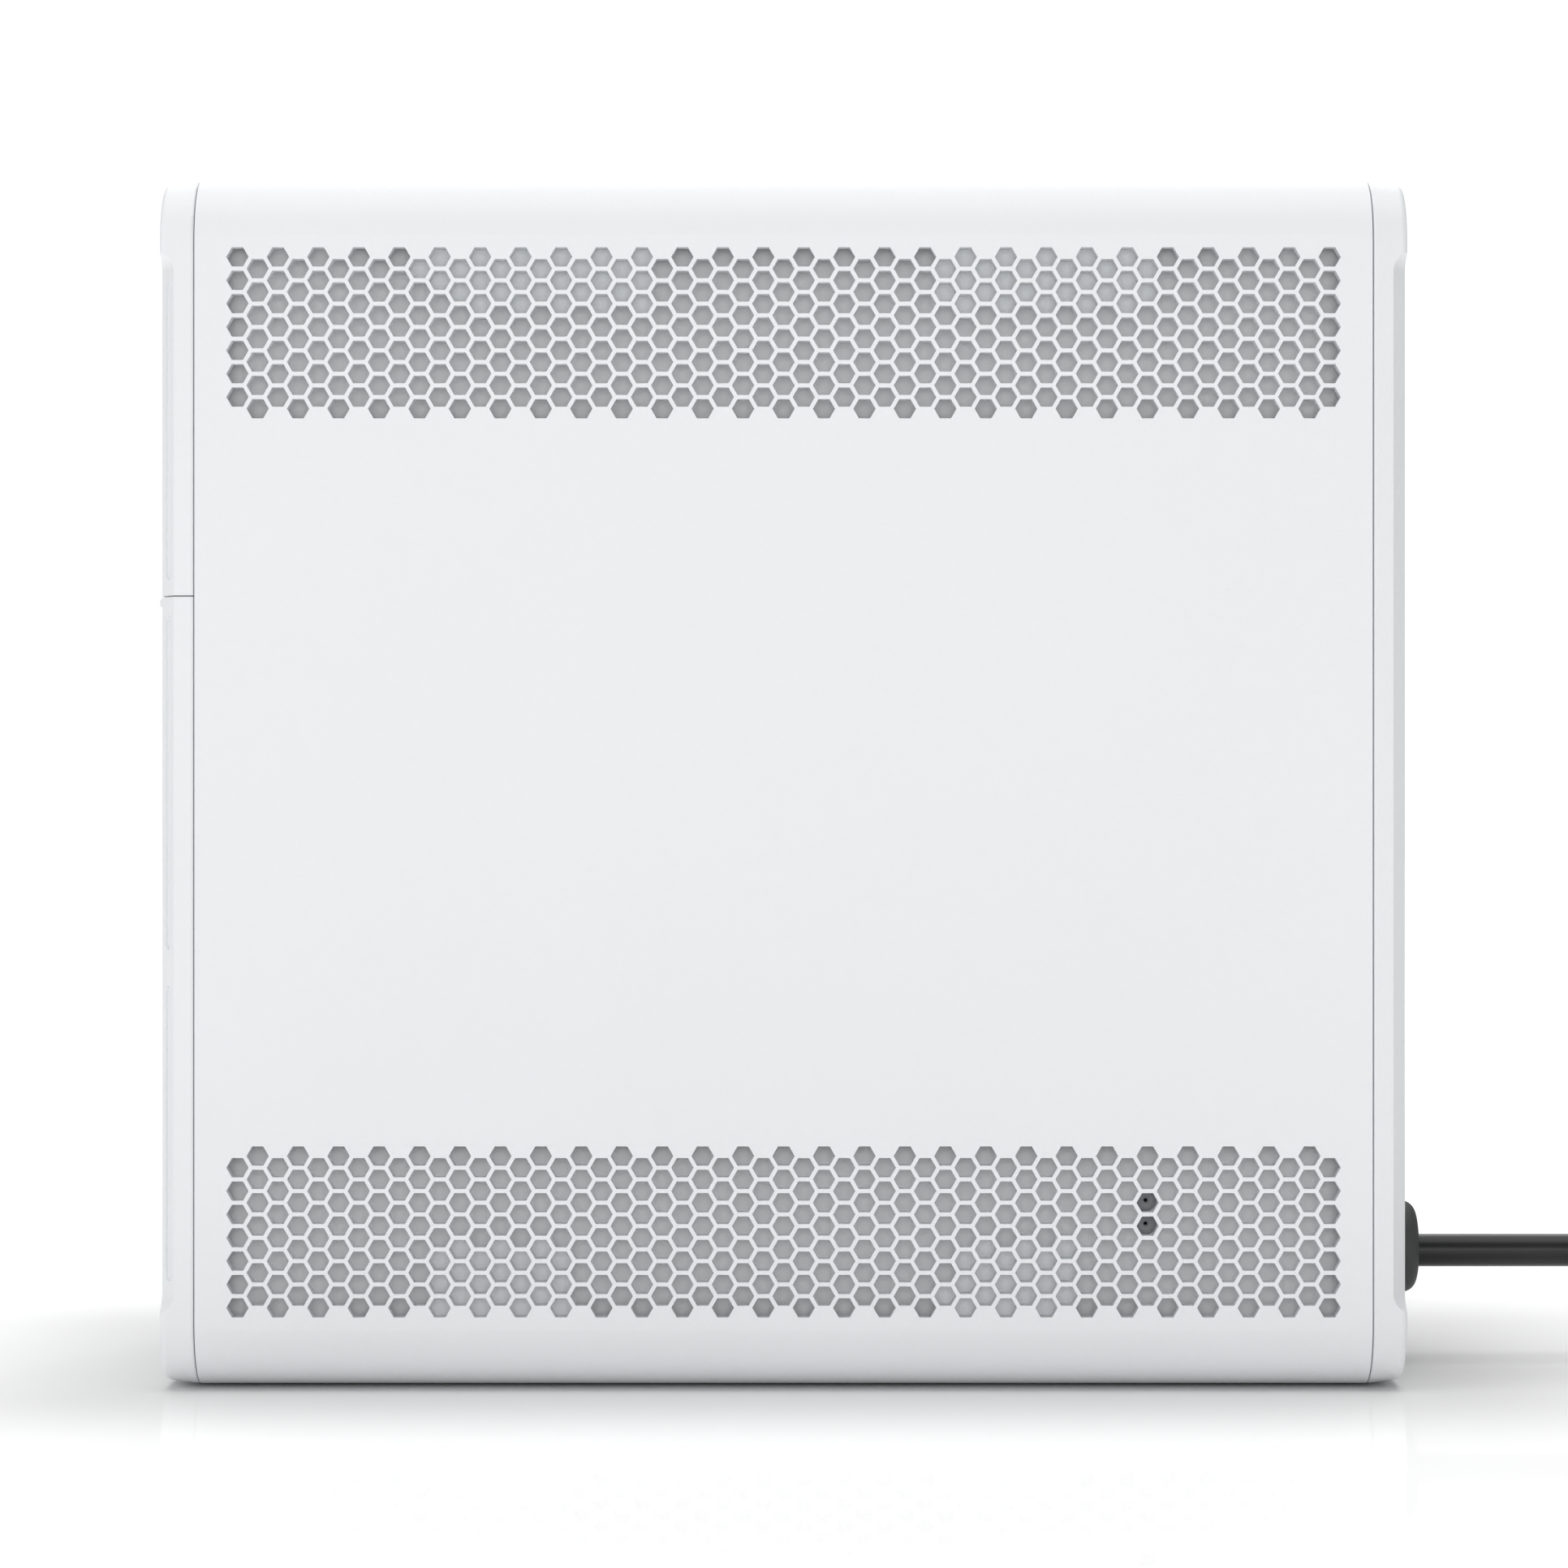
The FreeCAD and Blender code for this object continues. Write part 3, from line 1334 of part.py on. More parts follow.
def build():
    os.makedirs("parts", exist_ok=True)
    save("outer_sleeve", outer_sleeve())
    save("rubber_feet", rubber_feet())
    upper, lower = vent_baffle(1), vent_baffle(-1)
    save("near_upper_baffle", upper)
    save("near_lower_baffle", lower)
    save("far_upper_baffle", mirrored_y(upper))
    save("far_lower_baffle", mirrored_y(lower))
    save("front_bezel_upper", front_bezel_upper())
    save("front_cover_lower", front_cover_lower())
    save("cover_magnets", cover_magnets())
    save("keeper_plates", keeper_plates())
    save("front_frame", front_frame())
    save("status_window", status_window())
    save("light_guide", light_guide())
    save("front_board", front_board())
    save("push_switches", group([button_switch(), reset_switch()]))
    save("power_button", power_button())
    save("chassis_frame", chassis_frame())
    save("battery_bay", battery_bay())
    save("battery_block", battery_block())
    save("battery_terminals", battery_terminals())
    save("battery_pull_tab", battery_pull_tab())
    save("bay_connector", bay_connector())
    save("main_board", main_board())
    save("board_standoffs", board_standoffs())
    save("inner_screws", group(bezel_screws() + board_screws()))
    save("lan_jacks", group([rear_jack(height) for height in lan_heights]))
    save("wan_jack", rear_jack(wan_height))
    save("jack_contacts", jack_contacts())
    save("usb_port", usb_port())
    save("reset_button", reset_button())
    save("board_chips", board_chips())
    save("heat_sinks", group([processor_heat_sink(), power_heat_sink()]))
    save("power_board", power_board())
    save("transformer", transformer())
    save("smoothing_capacitors", smoothing_capacitors())
    save("terminal_block", terminal_block())
    save("inner_leads", group(mains_leads() + battery_leads() + [fan_lead()]))
    save("front_cable", front_cable())
    save("antenna_tray", antenna_tray())
    names = ("front_near", "front_far", "rear_near", "rear_far")
    places = [(x, side) for x in antenna_starts for side in (-1, 1)]
    for name, (x, side) in zip(names, places):
        save("antenna_" + name, antenna(x, side))
    save("radio_board", radio_board())
    save("radio_shield", radio_shield())
    save("antenna_leads", antenna_leads())
    save("rear_bezel", rear_bezel())
    save("rear_panel", rear_panel())
    save("panel_blocks", panel_blocks())
    save("rear_screws", group(panel_screws() + fan_screws()))
    save("fan_frame", fan_frame())
    save("fan_rotor", fan_rotor())
    save("rocker_housing", rocker_housing())
    save("power_rocker", power_rocker())
    save("strain_relief", strain_relief())
    cord, length, radii = tube(cord_route(), cord_radius)
    cord_report(cord, length, radii)
    save("mains_cord", cord)
    save("cord_coil", cord_coil())
    save("cord_tail", cord_tail())
    save("mains_plug", mains_plug())
    save("plug_pins", plug_pins())


build()
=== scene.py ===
# %% [markdown]
# # A tower router, dressed for its portrait
# The frame that we load first is the engineer's model: every casing, board, jack and screw is
# already in its place, in metres, and none of it is moved here. What this lesson adds is what a
# drawing doesn't hold: the sparked skin of the white mouldings, soft moulded rubber, bare metal,
# printed boards, and the mains cord, which is one smooth line with a real length.

# %% Load the frame and keep its box
import json
import math
import bpy
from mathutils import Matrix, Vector


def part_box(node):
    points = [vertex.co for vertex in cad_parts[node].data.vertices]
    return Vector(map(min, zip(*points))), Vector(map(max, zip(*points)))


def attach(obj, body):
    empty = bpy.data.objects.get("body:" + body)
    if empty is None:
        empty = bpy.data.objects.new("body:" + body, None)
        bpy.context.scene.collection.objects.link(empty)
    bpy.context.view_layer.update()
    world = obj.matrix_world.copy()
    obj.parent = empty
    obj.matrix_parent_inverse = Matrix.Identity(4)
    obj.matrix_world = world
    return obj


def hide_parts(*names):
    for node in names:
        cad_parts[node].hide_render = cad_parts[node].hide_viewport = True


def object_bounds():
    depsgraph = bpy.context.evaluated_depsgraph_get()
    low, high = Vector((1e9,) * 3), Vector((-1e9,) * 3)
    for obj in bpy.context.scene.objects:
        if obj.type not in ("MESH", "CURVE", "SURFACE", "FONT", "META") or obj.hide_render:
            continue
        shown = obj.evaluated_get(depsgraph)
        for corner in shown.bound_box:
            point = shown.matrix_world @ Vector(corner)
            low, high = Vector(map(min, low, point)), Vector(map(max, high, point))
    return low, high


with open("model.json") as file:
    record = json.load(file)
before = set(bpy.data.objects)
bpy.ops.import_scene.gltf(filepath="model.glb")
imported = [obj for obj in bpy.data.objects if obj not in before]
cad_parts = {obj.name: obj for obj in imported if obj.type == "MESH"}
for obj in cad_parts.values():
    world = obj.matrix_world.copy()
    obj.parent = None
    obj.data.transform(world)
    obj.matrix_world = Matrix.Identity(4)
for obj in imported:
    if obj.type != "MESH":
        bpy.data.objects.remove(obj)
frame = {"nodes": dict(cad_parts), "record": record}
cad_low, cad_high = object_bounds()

# %% [markdown]
# ## Where things are
# A good scene asks the model where its pieces are, so that nothing has to be fitted later. The
# sleeve says where the case is, the bush where the cord comes out, and the coil how wide the
# put-away cord lies.

# %% Ask the frame for the main places
MM = 0.001

sleeve_low, sleeve_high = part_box("outer_sleeve")
bush_low, bush_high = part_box("strain_relief")
coil_low, coil_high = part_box("cord_coil")
case_middle = (sleeve_low + sleeve_high) / 2
case_width = sleeve_high.y - sleeve_low.y
print(f"case is {case_width / MM:.0f} mm wide, its middle {case_middle.z / MM:.1f} mm up")

# %% [markdown]
# ## The camera
# The view is square on to one vented side, from about a metre away, with a long lens. From there
# the far edges of the rounded corners still show a little, which is what makes the seams look bowed.
# The camera comes before the cord, because the cord's hidden length has to lie outside its view.

# %% Make the camera
viewing_distance = 1.005
sensor = 36.0
half_view = 0.173  # half the width of the view, for each metre of distance
aim_right = 0.1 * MM
aim_down = 0.36 * MM

camera_data = bpy.data.cameras.new("portrait_camera")
camera_data.sensor_width = sensor
camera_data.lens = sensor / 2 / half_view
camera_data.clip_start = 0.01
camera = bpy.data.objects.new("portrait_camera", camera_data)
bpy.context.scene.collection.objects.link(camera)
camera.location = (
    case_middle.x + aim_right, sleeve_low.y - viewing_distance, case_middle.z - aim_down,
)
camera.rotation_euler = (math.radians(90), 0, 0)
bpy.context.scene.camera = camera
print(f"lens {camera_data.lens:.1f} mm")

# %% [markdown]
# ## The mains cord
# A mains cord is a fixed length of stiff round lead. It leaves the bush level, keeps level while it
# is near the case, then sinks to the floor in one long bend and runs into its coil. A NURBS line
# gives that even bend: its control points pull the line, and it cuts smoothly inside the corners.
# The coil is one line too: it winds inwards on the floor, climbs one cord's thickness at the
# inside, and winds outwards on top of itself, as a hand-wound flat coil does.

# %% Draw the route and wind the coil
cord_diameter = 7.6 * MM
cord_radius = cord_diameter / 2
turn_pitch = 7.7 * MM
floor_height = cord_radius + 0.1 * MM
exit_height = 25.7 * MM
tail_length = 28 * MM
coil_centre = Vector(((coil_low.x + coil_high.x) / 2, (coil_low.y + coil_high.y) / 2, 0))
outer_radius = (coil_high.x - coil_low.x) / 2 - cord_radius
cord_exit = Vector((bush_high.x, 0.0, exit_height))

route = [
    (cord_exit.x, 0.0, exit_height),
    (0.177, 0.0, exit_height),
    (0.205, 0.0, exit_height),
    (0.233, -0.0117, 0.0039),
]

turns_in, turns_climb, turns_out = 2.84, 0.5, 2.838
points_per_turn = 18
first_angle = math.radians(-94)


def wind_coil():
    """Points of the coil from the outside in, up one layer, and out again."""
    total = turns_in + turns_climb + turns_out
    steps = round(total * points_per_turn)
    points = []
    for step in range(steps + 1):
        turn = total * step / steps
        angle = first_angle + turn * math.tau
        inward = min(turn, turns_in)
        outward = max(0.0, turn - turns_in - turns_climb)
        radius = outer_radius - turn_pitch * (inward - outward)
        climb = min(1.0, max(0.0, (turn - turns_in) / turns_climb))
        height = floor_height + turn_pitch * climb * climb * (3 - 2 * climb)
        across = Vector((math.cos(angle), math.sin(angle), 0)) * radius
        points.append(coil_centre + across + Vector((0, 0, height)))
    return points, angle, radius


coil_points, last_angle, last_radius = wind_coil()
way_out = Vector((-math.sin(last_angle), math.cos(last_angle), 0))
plug_start = coil_points[-1] + way_out * tail_length
all_turns = turns_in + turns_climb + turns_out
print(f"coil of {all_turns:.2f} turns, last radius {last_radius / MM:.1f} mm")

# %% Turn the points into one cord
def nurbs_tube(name, points, radius):
    """One smooth open line with a round section."""
    curve = bpy.data.curves.new(name, "CURVE")
    curve.dimensions = "3D"
    spline = curve.splines.new("NURBS")
    spline.points.add(len(points) - 1)
    for point, place in zip(spline.points, points):
        point.co = (*place, 1.0)
    spline.order_u = 3
    spline.use_endpoint_u = True
    spline.resolution_u = 8
    curve.bevel_depth = radius
    curve.bevel_resolution = 10
    curve.use_fill_caps = True
    tube = bpy.data.objects.new(name, curve)
    bpy.context.scene.collection.objects.link(tube)
    return tube


cord_points = [Vector(point) for point in route] + coil_points + [plug_start]
cord = nurbs_tube("cord_line", cord_points, cord_radius)
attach(cord, "case")
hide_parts("mains_cord", "cord_coil", "cord_tail")
runs = sum((b - a).length for a, b in zip(cord_points, cord_points[1:]))
print(f"runs of {runs:.3f} m between {len(cord_points)} control points")

# %% [markdown]
# ## A short way to write nodes
# Every effect from here on is a small web of nodes. Written out in full, each node takes a line
# to make, one for each setting and one for each link. `node` does all of it in one call, and
# `calc` and `noise` do the two kinds that come up most.

# %% Helpers that add a node
def node(tree, kind, links=None, **settings):
    """Adds a node, sets its properties or input values, and links sockets into it."""
    made = tree.nodes.new(kind)
    for label, value in settings.items():
        setattr(made, label, value)
    for socket, source in (links or {}).items():
        if hasattr(source, "is_output"):
            tree.links.new(source, made.inputs[socket])
        else:
            made.inputs[socket].default_value = source
    return made


def calc(tree, operation, *values):
    """The result of one sum on numbers or sockets."""
    return node(tree, "ShaderNodeMath", dict(enumerate(values)), operation=operation).outputs[0]


def noise(tree, place, scale, detail, roughness=0.5):
    """The grey value of a noise texture at a place."""
    made = node(tree, "ShaderNodeTexNoise", {
        "Vector": place, "Scale": scale, "Detail": detail, "Roughness": roughness})
    return made.outputs["Fac"]


def spread(tree, value, from_low, from_high, to_low, to_high, kind="LINEAR"):
    """A value moved from one range to another."""
    made = node(tree, "ShaderNodeMapRange", {
        "Value": value, "From Min": from_low, "From Max": from_high,
        "To Min": to_low, "To Max": to_high}, interpolation_type=kind)
    return made.outputs[0]


print("helpers:", node.__name__, calc.__name__, noise.__name__, spread.__name__)

# %% [markdown]
# ## The floor
# Polished white acrylic is what such a set stands on: pale, a little glossy, with a faint mirror
# image. It has to stay shaded at the foot of the case and melt into the white background further
# off. A lit sweep behind it could do that, but a floor that glows more with its distance from the
# case does it from every side. The far glow is for the camera only, so it puts no light on the case.

# %% Lay the floor
floor_size = 14.0
floor_white = (0.86, 0.86, 0.86, 1)
polish_share = 0.14
polish_roughness = 0.03
near_glow_reach, near_glow_strength = 0.09, 0.24
far_glow_start, far_glow_end = 0.25, 1.6


def plane(name, size, height):
    mesh = bpy.data.meshes.new(name)
    half = size / 2
    corners = [(x, y, height) for x, y in ((-half, -half), (half, -half), (half, half), (-half, half))]
    mesh.from_pydata(corners, [], [(0, 1, 2, 3)])
    sheet = bpy.data.objects.new(name, mesh)
    bpy.context.scene.collection.objects.link(sheet)
    return sheet


def distance_from_case(tree):
    """How far a point of the floor is from the case's footprint."""
    place = node(tree, "ShaderNodeTexCoord").outputs["Object"]
    footprint = (-cad_low.x, -cad_low.y, 0.0)
    folded = node(tree, "ShaderNodeVectorMath", {0: place}, operation="ABSOLUTE").outputs[0]
    past = node(tree, "ShaderNodeVectorMath", {0: folded, 1: footprint}, operation="SUBTRACT").outputs[0]
    outside = node(tree, "ShaderNodeVectorMath", {0: past, 1: (0, 0, 0)}, operation="MAXIMUM").outputs[0]
    return node(tree, "ShaderNodeVectorMath", {0: outside}, operation="LENGTH").outputs["Value"]


def paint_floor(tree):
    tree.nodes.remove(tree.nodes["Principled BSDF"])
    away = distance_from_case(tree)
    # The glow is painted light: the grey at the case's foot is real shade plus painted shade.
    near_glow = spread(tree, away, 0.0, near_glow_reach, 0.0, near_glow_strength, "SMOOTHSTEP")
    far_glow = spread(tree, away, far_glow_start, far_glow_end, 0.0, 1.0)
    seen = node(tree, "ShaderNodeLightPath").outputs["Is Camera Ray"]
    all_glow = calc(tree, "ADD", near_glow, calc(tree, "MULTIPLY", far_glow, seen))
    white = node(tree, "ShaderNodeBsdfDiffuse", {"Color": floor_white})
    polish = node(tree, "ShaderNodeBsdfGlossy", {"Color": (1, 1, 1, 1), "Roughness": polish_roughness})
    polished = node(tree, "ShaderNodeMixShader", {
        0: polish_share, 1: white.outputs[0], 2: polish.outputs[0]})
    glow = node(tree, "ShaderNodeEmission", {"Strength": all_glow})
    lit = node(tree, "ShaderNodeAddShader", {0: polished.outputs[0], 1: glow.outputs[0]})
    tree.links.new(lit.outputs[0], tree.nodes["Material Output"].inputs["Surface"])


floor = plane("studio_floor", floor_size, 0.0)
acrylic = bpy.data.materials.new("white_acrylic")
acrylic.use_nodes = True
paint_floor(acrylic.node_tree)
floor.data.materials.append(acrylic)
print("floor of", floor_size, "m, nodes:", len(acrylic.node_tree.nodes))

# %% [markdown]
# ## The lights
# White on white shows its shape only by small steps of grey. A wide box overhead rounds off the
# top, one behind lifts the far edges, one on the left gives the front its light side, and a low
# one in front reaches into the vent cells. None of them is seen by the camera.

# %% Hang the lights
def soft_light(name, place, target, size, power):
    data = bpy.data.lights.new(name, "AREA")
    data.shape = "RECTANGLE"
    data.size, data.size_y = size
    data.energy = power
    lamp = bpy.data.objects.new(name, data)
    bpy.context.scene.collection.objects.link(lamp)
    lamp.location = place
    lamp.rotation_euler = (Vector(target) - Vector(place)).to_track_quat("-Z", "Y").to_euler()
    lamp.visible_camera = False
    return lamp


left = soft_light("left_softbox", (-2.2, -0.8, 0.9), (0, 0, 0.1), (1.4, 1.4), 8.4)
low_front = soft_light("low_front_softbox", (0.0, -1.6, 0.35), (0, 0, 0.12), (1.2, 0.5), 5.7)
top = soft_light("top_softbox", (0.0, -0.1, 2.2), (0, 0, 0.0), (2.4, 2.0), 29.8)
back = soft_light("back_softbox", (0.0, 1.8, 1.8), (0, 0, 0.0), (2.2, 1.4), 20.0)

print("lights:", left.name, low_front.name, top.name, back.name)

# %% [markdown]
# ## The surround
# The room fills the shadows with a dim white, while the camera sees a plain white card behind the
# case. Two Background shaders do that, and Light Path says which of them a ray gets.

# %% Light the surround
surround_strength = 0.316
card_strength = 1.05

world = bpy.data.worlds.new("white_surround")
bpy.context.scene.world = world
world.use_nodes = True
sky = world.node_tree
surround = sky.nodes["Background"]
surround.inputs["Color"].default_value = (1, 1, 1, 1)
surround.inputs["Strength"].default_value = surround_strength
white_card = node(sky, "ShaderNodeBackground", {"Color": (1, 1, 1, 1), "Strength": card_strength})
ray = node(sky, "ShaderNodeLightPath")
choose = node(sky, "ShaderNodeMixShader", {
    0: ray.outputs["Is Camera Ray"], 1: surround.outputs[0], 2: white_card.outputs[0]})
sky.links.new(choose.outputs["Shader"], sky.nodes["World Output"].inputs["Surface"])
bpy.context.scene.view_settings.view_transform = "Standard"
print("surround:", surround_strength, "card:", card_strength)

# %% [markdown]
# ## One skin for many mouldings
# Injection-moulded cases get their dull surface from a spark-eroded tool: tiny pebbles, a few
# tenths of a millimetre across, over a slow waviness. The white case, the dark inner mouldings,
# the rubber and the powder-coated panel all need some of it, so it is built once as a node group
# with its own inputs, and each material sets its own grain and depth.

# %% Build the moulded skin group
def new_group(name, inputs, outputs):
    group = bpy.data.node_groups.new(name, "ShaderNodeTree")
    for label, kind, value in inputs:
        socket = group.interface.new_socket(label, in_out="INPUT", socket_type="NodeSocket" + kind)
        socket.default_value = value
    for label, kind in outputs:
        group.interface.new_socket(label, in_out="OUTPUT", socket_type="NodeSocket" + kind)
    start = group.nodes.new("NodeGroupInput")
    end = group.nodes.new("NodeGroupOutput")
    return group, start, end


moulded_skin, skin_in, skin_out = new_group(
    "moulded_skin",
    [
        ("Color", "Color", (0.8, 0.8, 0.8, 1)), ("Tint Drift", "Float", 0.03),
        ("Grain Size", "Float", 0.4), ("Grain Depth", "Float", 0.5),
        ("Roughness", "Float", 0.5), ("Roughness Drift", "Float", 0.1),
    ],
    [("Color", "Color"), ("Roughness", "Float"), ("Normal", "Vector")],
)


wave_scale, wave_share = 0.3, 0.6
drift_scale = 14.0
grain_height = 0.1 * MM
handling_grey = (0.25, 0.24, 0.22, 1)


def fill_skin(tree):
    place = node(tree, "ShaderNodeTexCoord").outputs["Object"]
    per_metre = calc(tree, "DIVIDE", 1 / MM, skin_in.outputs["Grain Size"])
    grain = noise(tree, place, per_metre, 2.0, 0.55)
    wave = noise(tree, place, calc(tree, "MULTIPLY", per_metre, wave_scale), 1.0)
    drift = noise(tree, place, drift_scale, 3.0)
    both = calc(tree, "MULTIPLY_ADD", wave, wave_share, grain)
    bump = node(tree, "ShaderNodeBump", {
        "Strength": skin_in.outputs["Grain Depth"], "Distance": grain_height, "Height": both})
    darker = spread(tree, drift, 0.3, 0.7, 1.0, 0.0)
    amount = calc(tree, "MULTIPLY", darker, skin_in.outputs["Tint Drift"])
    shade = node(tree, "ShaderNodeMix", {
        0: amount, 6: skin_in.outputs["Color"], 7: handling_grey}, data_type="RGBA")
    centred = calc(tree, "SUBTRACT", drift, 0.5)
    rough = calc(
        tree, "MULTIPLY_ADD", centred, skin_in.outputs["Roughness Drift"], skin_in.outputs["Roughness"])
    tree.links.new(shade.outputs[2], skin_out.inputs["Color"])
    tree.links.new(rough, skin_out.inputs["Roughness"])
    tree.links.new(bump.outputs["Normal"], skin_out.inputs["Normal"])


fill_skin(moulded_skin)
print("moulded_skin nodes:", len(moulded_skin.nodes))

# %% [markdown]
# ## Brushed and rolled metal
# Sheet steel, tinned shields and cut aluminium carry fine marks that run one way. Stretching a
# noise along one axis draws those marks, and letting them change the roughness more than the
# colour is what makes a metal look rolled and not painted with stripes.

# %% Build the rolled metal group
rolled_metal, metal_in, metal_out = new_group(
    "rolled_metal",
    [
        ("Color", "Color", (0.6, 0.6, 0.6, 1)), ("Roughness", "Float", 0.35),
        ("Streak", "Float", 0.15), ("Stretch", "Vector", (40.0, 900.0, 900.0)),
        ("Relief", "Float", 0.15),
    ],
    [("Color", "Color"), ("Roughness", "Float"), ("Normal", "Vector")],
)


cloud_scale = 60.0
mark_height = 0.03 * MM
dull_grey = (0.2, 0.2, 0.21, 1)


def fill_metal(tree):
    place = node(tree, "ShaderNodeTexCoord").outputs["Object"]
    stretched = node(tree, "ShaderNodeVectorMath", {
        0: place, 1: metal_in.outputs["Stretch"]}, operation="MULTIPLY")
    marks = noise(tree, stretched.outputs[0], 1.0, 3.0)
    cloud = noise(tree, place, cloud_scale, 2.0)
    mixed = calc(tree, "MULTIPLY", marks, cloud)
    centred = calc(tree, "SUBTRACT", mixed, 0.25)
    rough = calc(tree, "MULTIPLY_ADD", centred, metal_in.outputs["Streak"], metal_in.outputs["Roughness"])
    dull = calc(tree, "MULTIPLY", mixed, 0.35)
    shade = node(tree, "ShaderNodeMix", {
        0: dull, 6: metal_in.outputs["Color"], 7: dull_grey}, data_type="RGBA")
    bump = node(tree, "ShaderNodeBump", {
        "Strength": metal_in.outputs["Relief"], "Distance": mark_height, "Height": marks})
    tree.links.new(shade.outputs[2], metal_out.inputs["Color"])
    tree.links.new(rough, metal_out.inputs["Roughness"])
    tree.links.new(bump.outputs["Normal"], metal_out.inputs["Normal"])


fill_metal(rolled_metal)
print("rolled_metal nodes:", len(rolled_metal.nodes))

# %% [markdown]
# ## Turning a group into a finish
# Each finish is one Principled shader with one group in front of it. The group feeds only what
# changes over the surface. Gloss, sheen and metal are single numbers on the shader itself.

# %% Helpers that make a finish
def srgb(code):
    """A hex colour as linear numbers."""
    parts = [int(code[i:i + 2], 16) / 255 for i in (0, 2, 4)]
    return tuple(((p + 0.055) / 1.055) ** 2.4 if p > 0.04045 else p / 12.92 for p in parts) + (1.0,)


def finish_with(name, group, values, shader_values=None):
    material = bpy.data.materials.new(name)
    material.use_nodes = True
    tree = material.node_tree
    shader = tree.nodes["Principled BSDF"]
    placed = tree.nodes.new("ShaderNodeGroup")
    placed.node_tree = group
    for label, value in values.items():
        placed.inputs[label].default_value = value
    tree.links.new(placed.outputs["Color"], shader.inputs["Base Color"])
    tree.links.new(placed.outputs["Roughness"], shader.inputs["Roughness"])
    tree.links.new(placed.outputs["Normal"], shader.inputs["Normal"])
    for label, value in (shader_values or {}).items():
        shader.inputs[label].default_value = value
    return material


def moulded(name, colour, roughness=0.5, grain=0.4, depth=0.5, drift=0.03, **shader_values):
    values = {
        "Color": srgb(colour), "Roughness": roughness,
        "Grain Size": grain, "Grain Depth": depth, "Tint Drift": drift,
    }
    on_shader = {label.replace("_", " "): value for label, value in shader_values.items()}
    return finish_with(name, moulded_skin, values, on_shader)


def metal(name, colour, roughness=0.35, streak=0.3, stretch=(40.0, 900.0, 900.0), relief=0.15):
    values = {
        "Color": srgb(colour), "Roughness": roughness,
        "Streak": streak, "Stretch": stretch, "Relief": relief,
    }
    return finish_with(name, rolled_metal, values, {"Metallic": 1.0})


print("mid grey 808080 is", round(srgb("808080")[0], 3), "in linear light")


# %% [markdown]
# ## Painted shade inside the shells
# The white shells get a dark grey on the faces that look inwards, which is painted shade. Behind
# the vents it makes the gap between sleeve and screen look black. A face looks inwards when its
# normal points back towards the middle of the case, so position and normal, multiplied along the
# width, tell the two sides of the shell apart without any second object.

# %% Build the inside mask
inside_face, inside_in, inside_out = new_group(
    "inside_face", [("Threshold", "Float", -0.02)], [("Mask", "Float")],
)


def fill_inside(tree):
    place = node(tree, "ShaderNodeTexCoord").outputs["Object"]
    normal = node(tree, "ShaderNodeNewGeometry").outputs["True Normal"]
    at = node(tree, "ShaderNodeSeparateXYZ", {0: place})
    facing = node(tree, "ShaderNodeSeparateXYZ", {0: normal})
    product = calc(tree, "MULTIPLY", at.outputs["Y"], facing.outputs["Y"])
    inward = calc(tree, "LESS_THAN", product, inside_in.outputs["Threshold"])
    tree.links.new(inward, inside_out.inputs["Mask"])


fill_inside(inside_face)
print("inside_face nodes:", len(inside_face.nodes))


def paint_inner_shade(material, colour):
    """Lays a painted shade, a dark second colour, on the faces that look inwards."""
    tree = material.node_tree
    shader = tree.nodes["Principled BSDF"]
    outside_colour = shader.inputs["Base Color"].links[0].from_socket
    placed = tree.nodes.new("ShaderNodeGroup")
    placed.node_tree = inside_face
    mix = node(tree, "ShaderNodeMix", {
        0: placed.outputs["Mask"], 6: outside_colour, 7: srgb(colour)}, data_type="RGBA")
    tree.links.new(mix.outputs[2], shader.inputs["Base Color"])


# %% [markdown]
# ## The finishes of this router
# White casing first, since it is nine tenths of what shows: a slightly cool white, dull, with the
# spark grain. The screens behind the vents are nearly white too: the cells read as grey only
# because little light gets down to them. One line for each finish keeps them easy to compare.

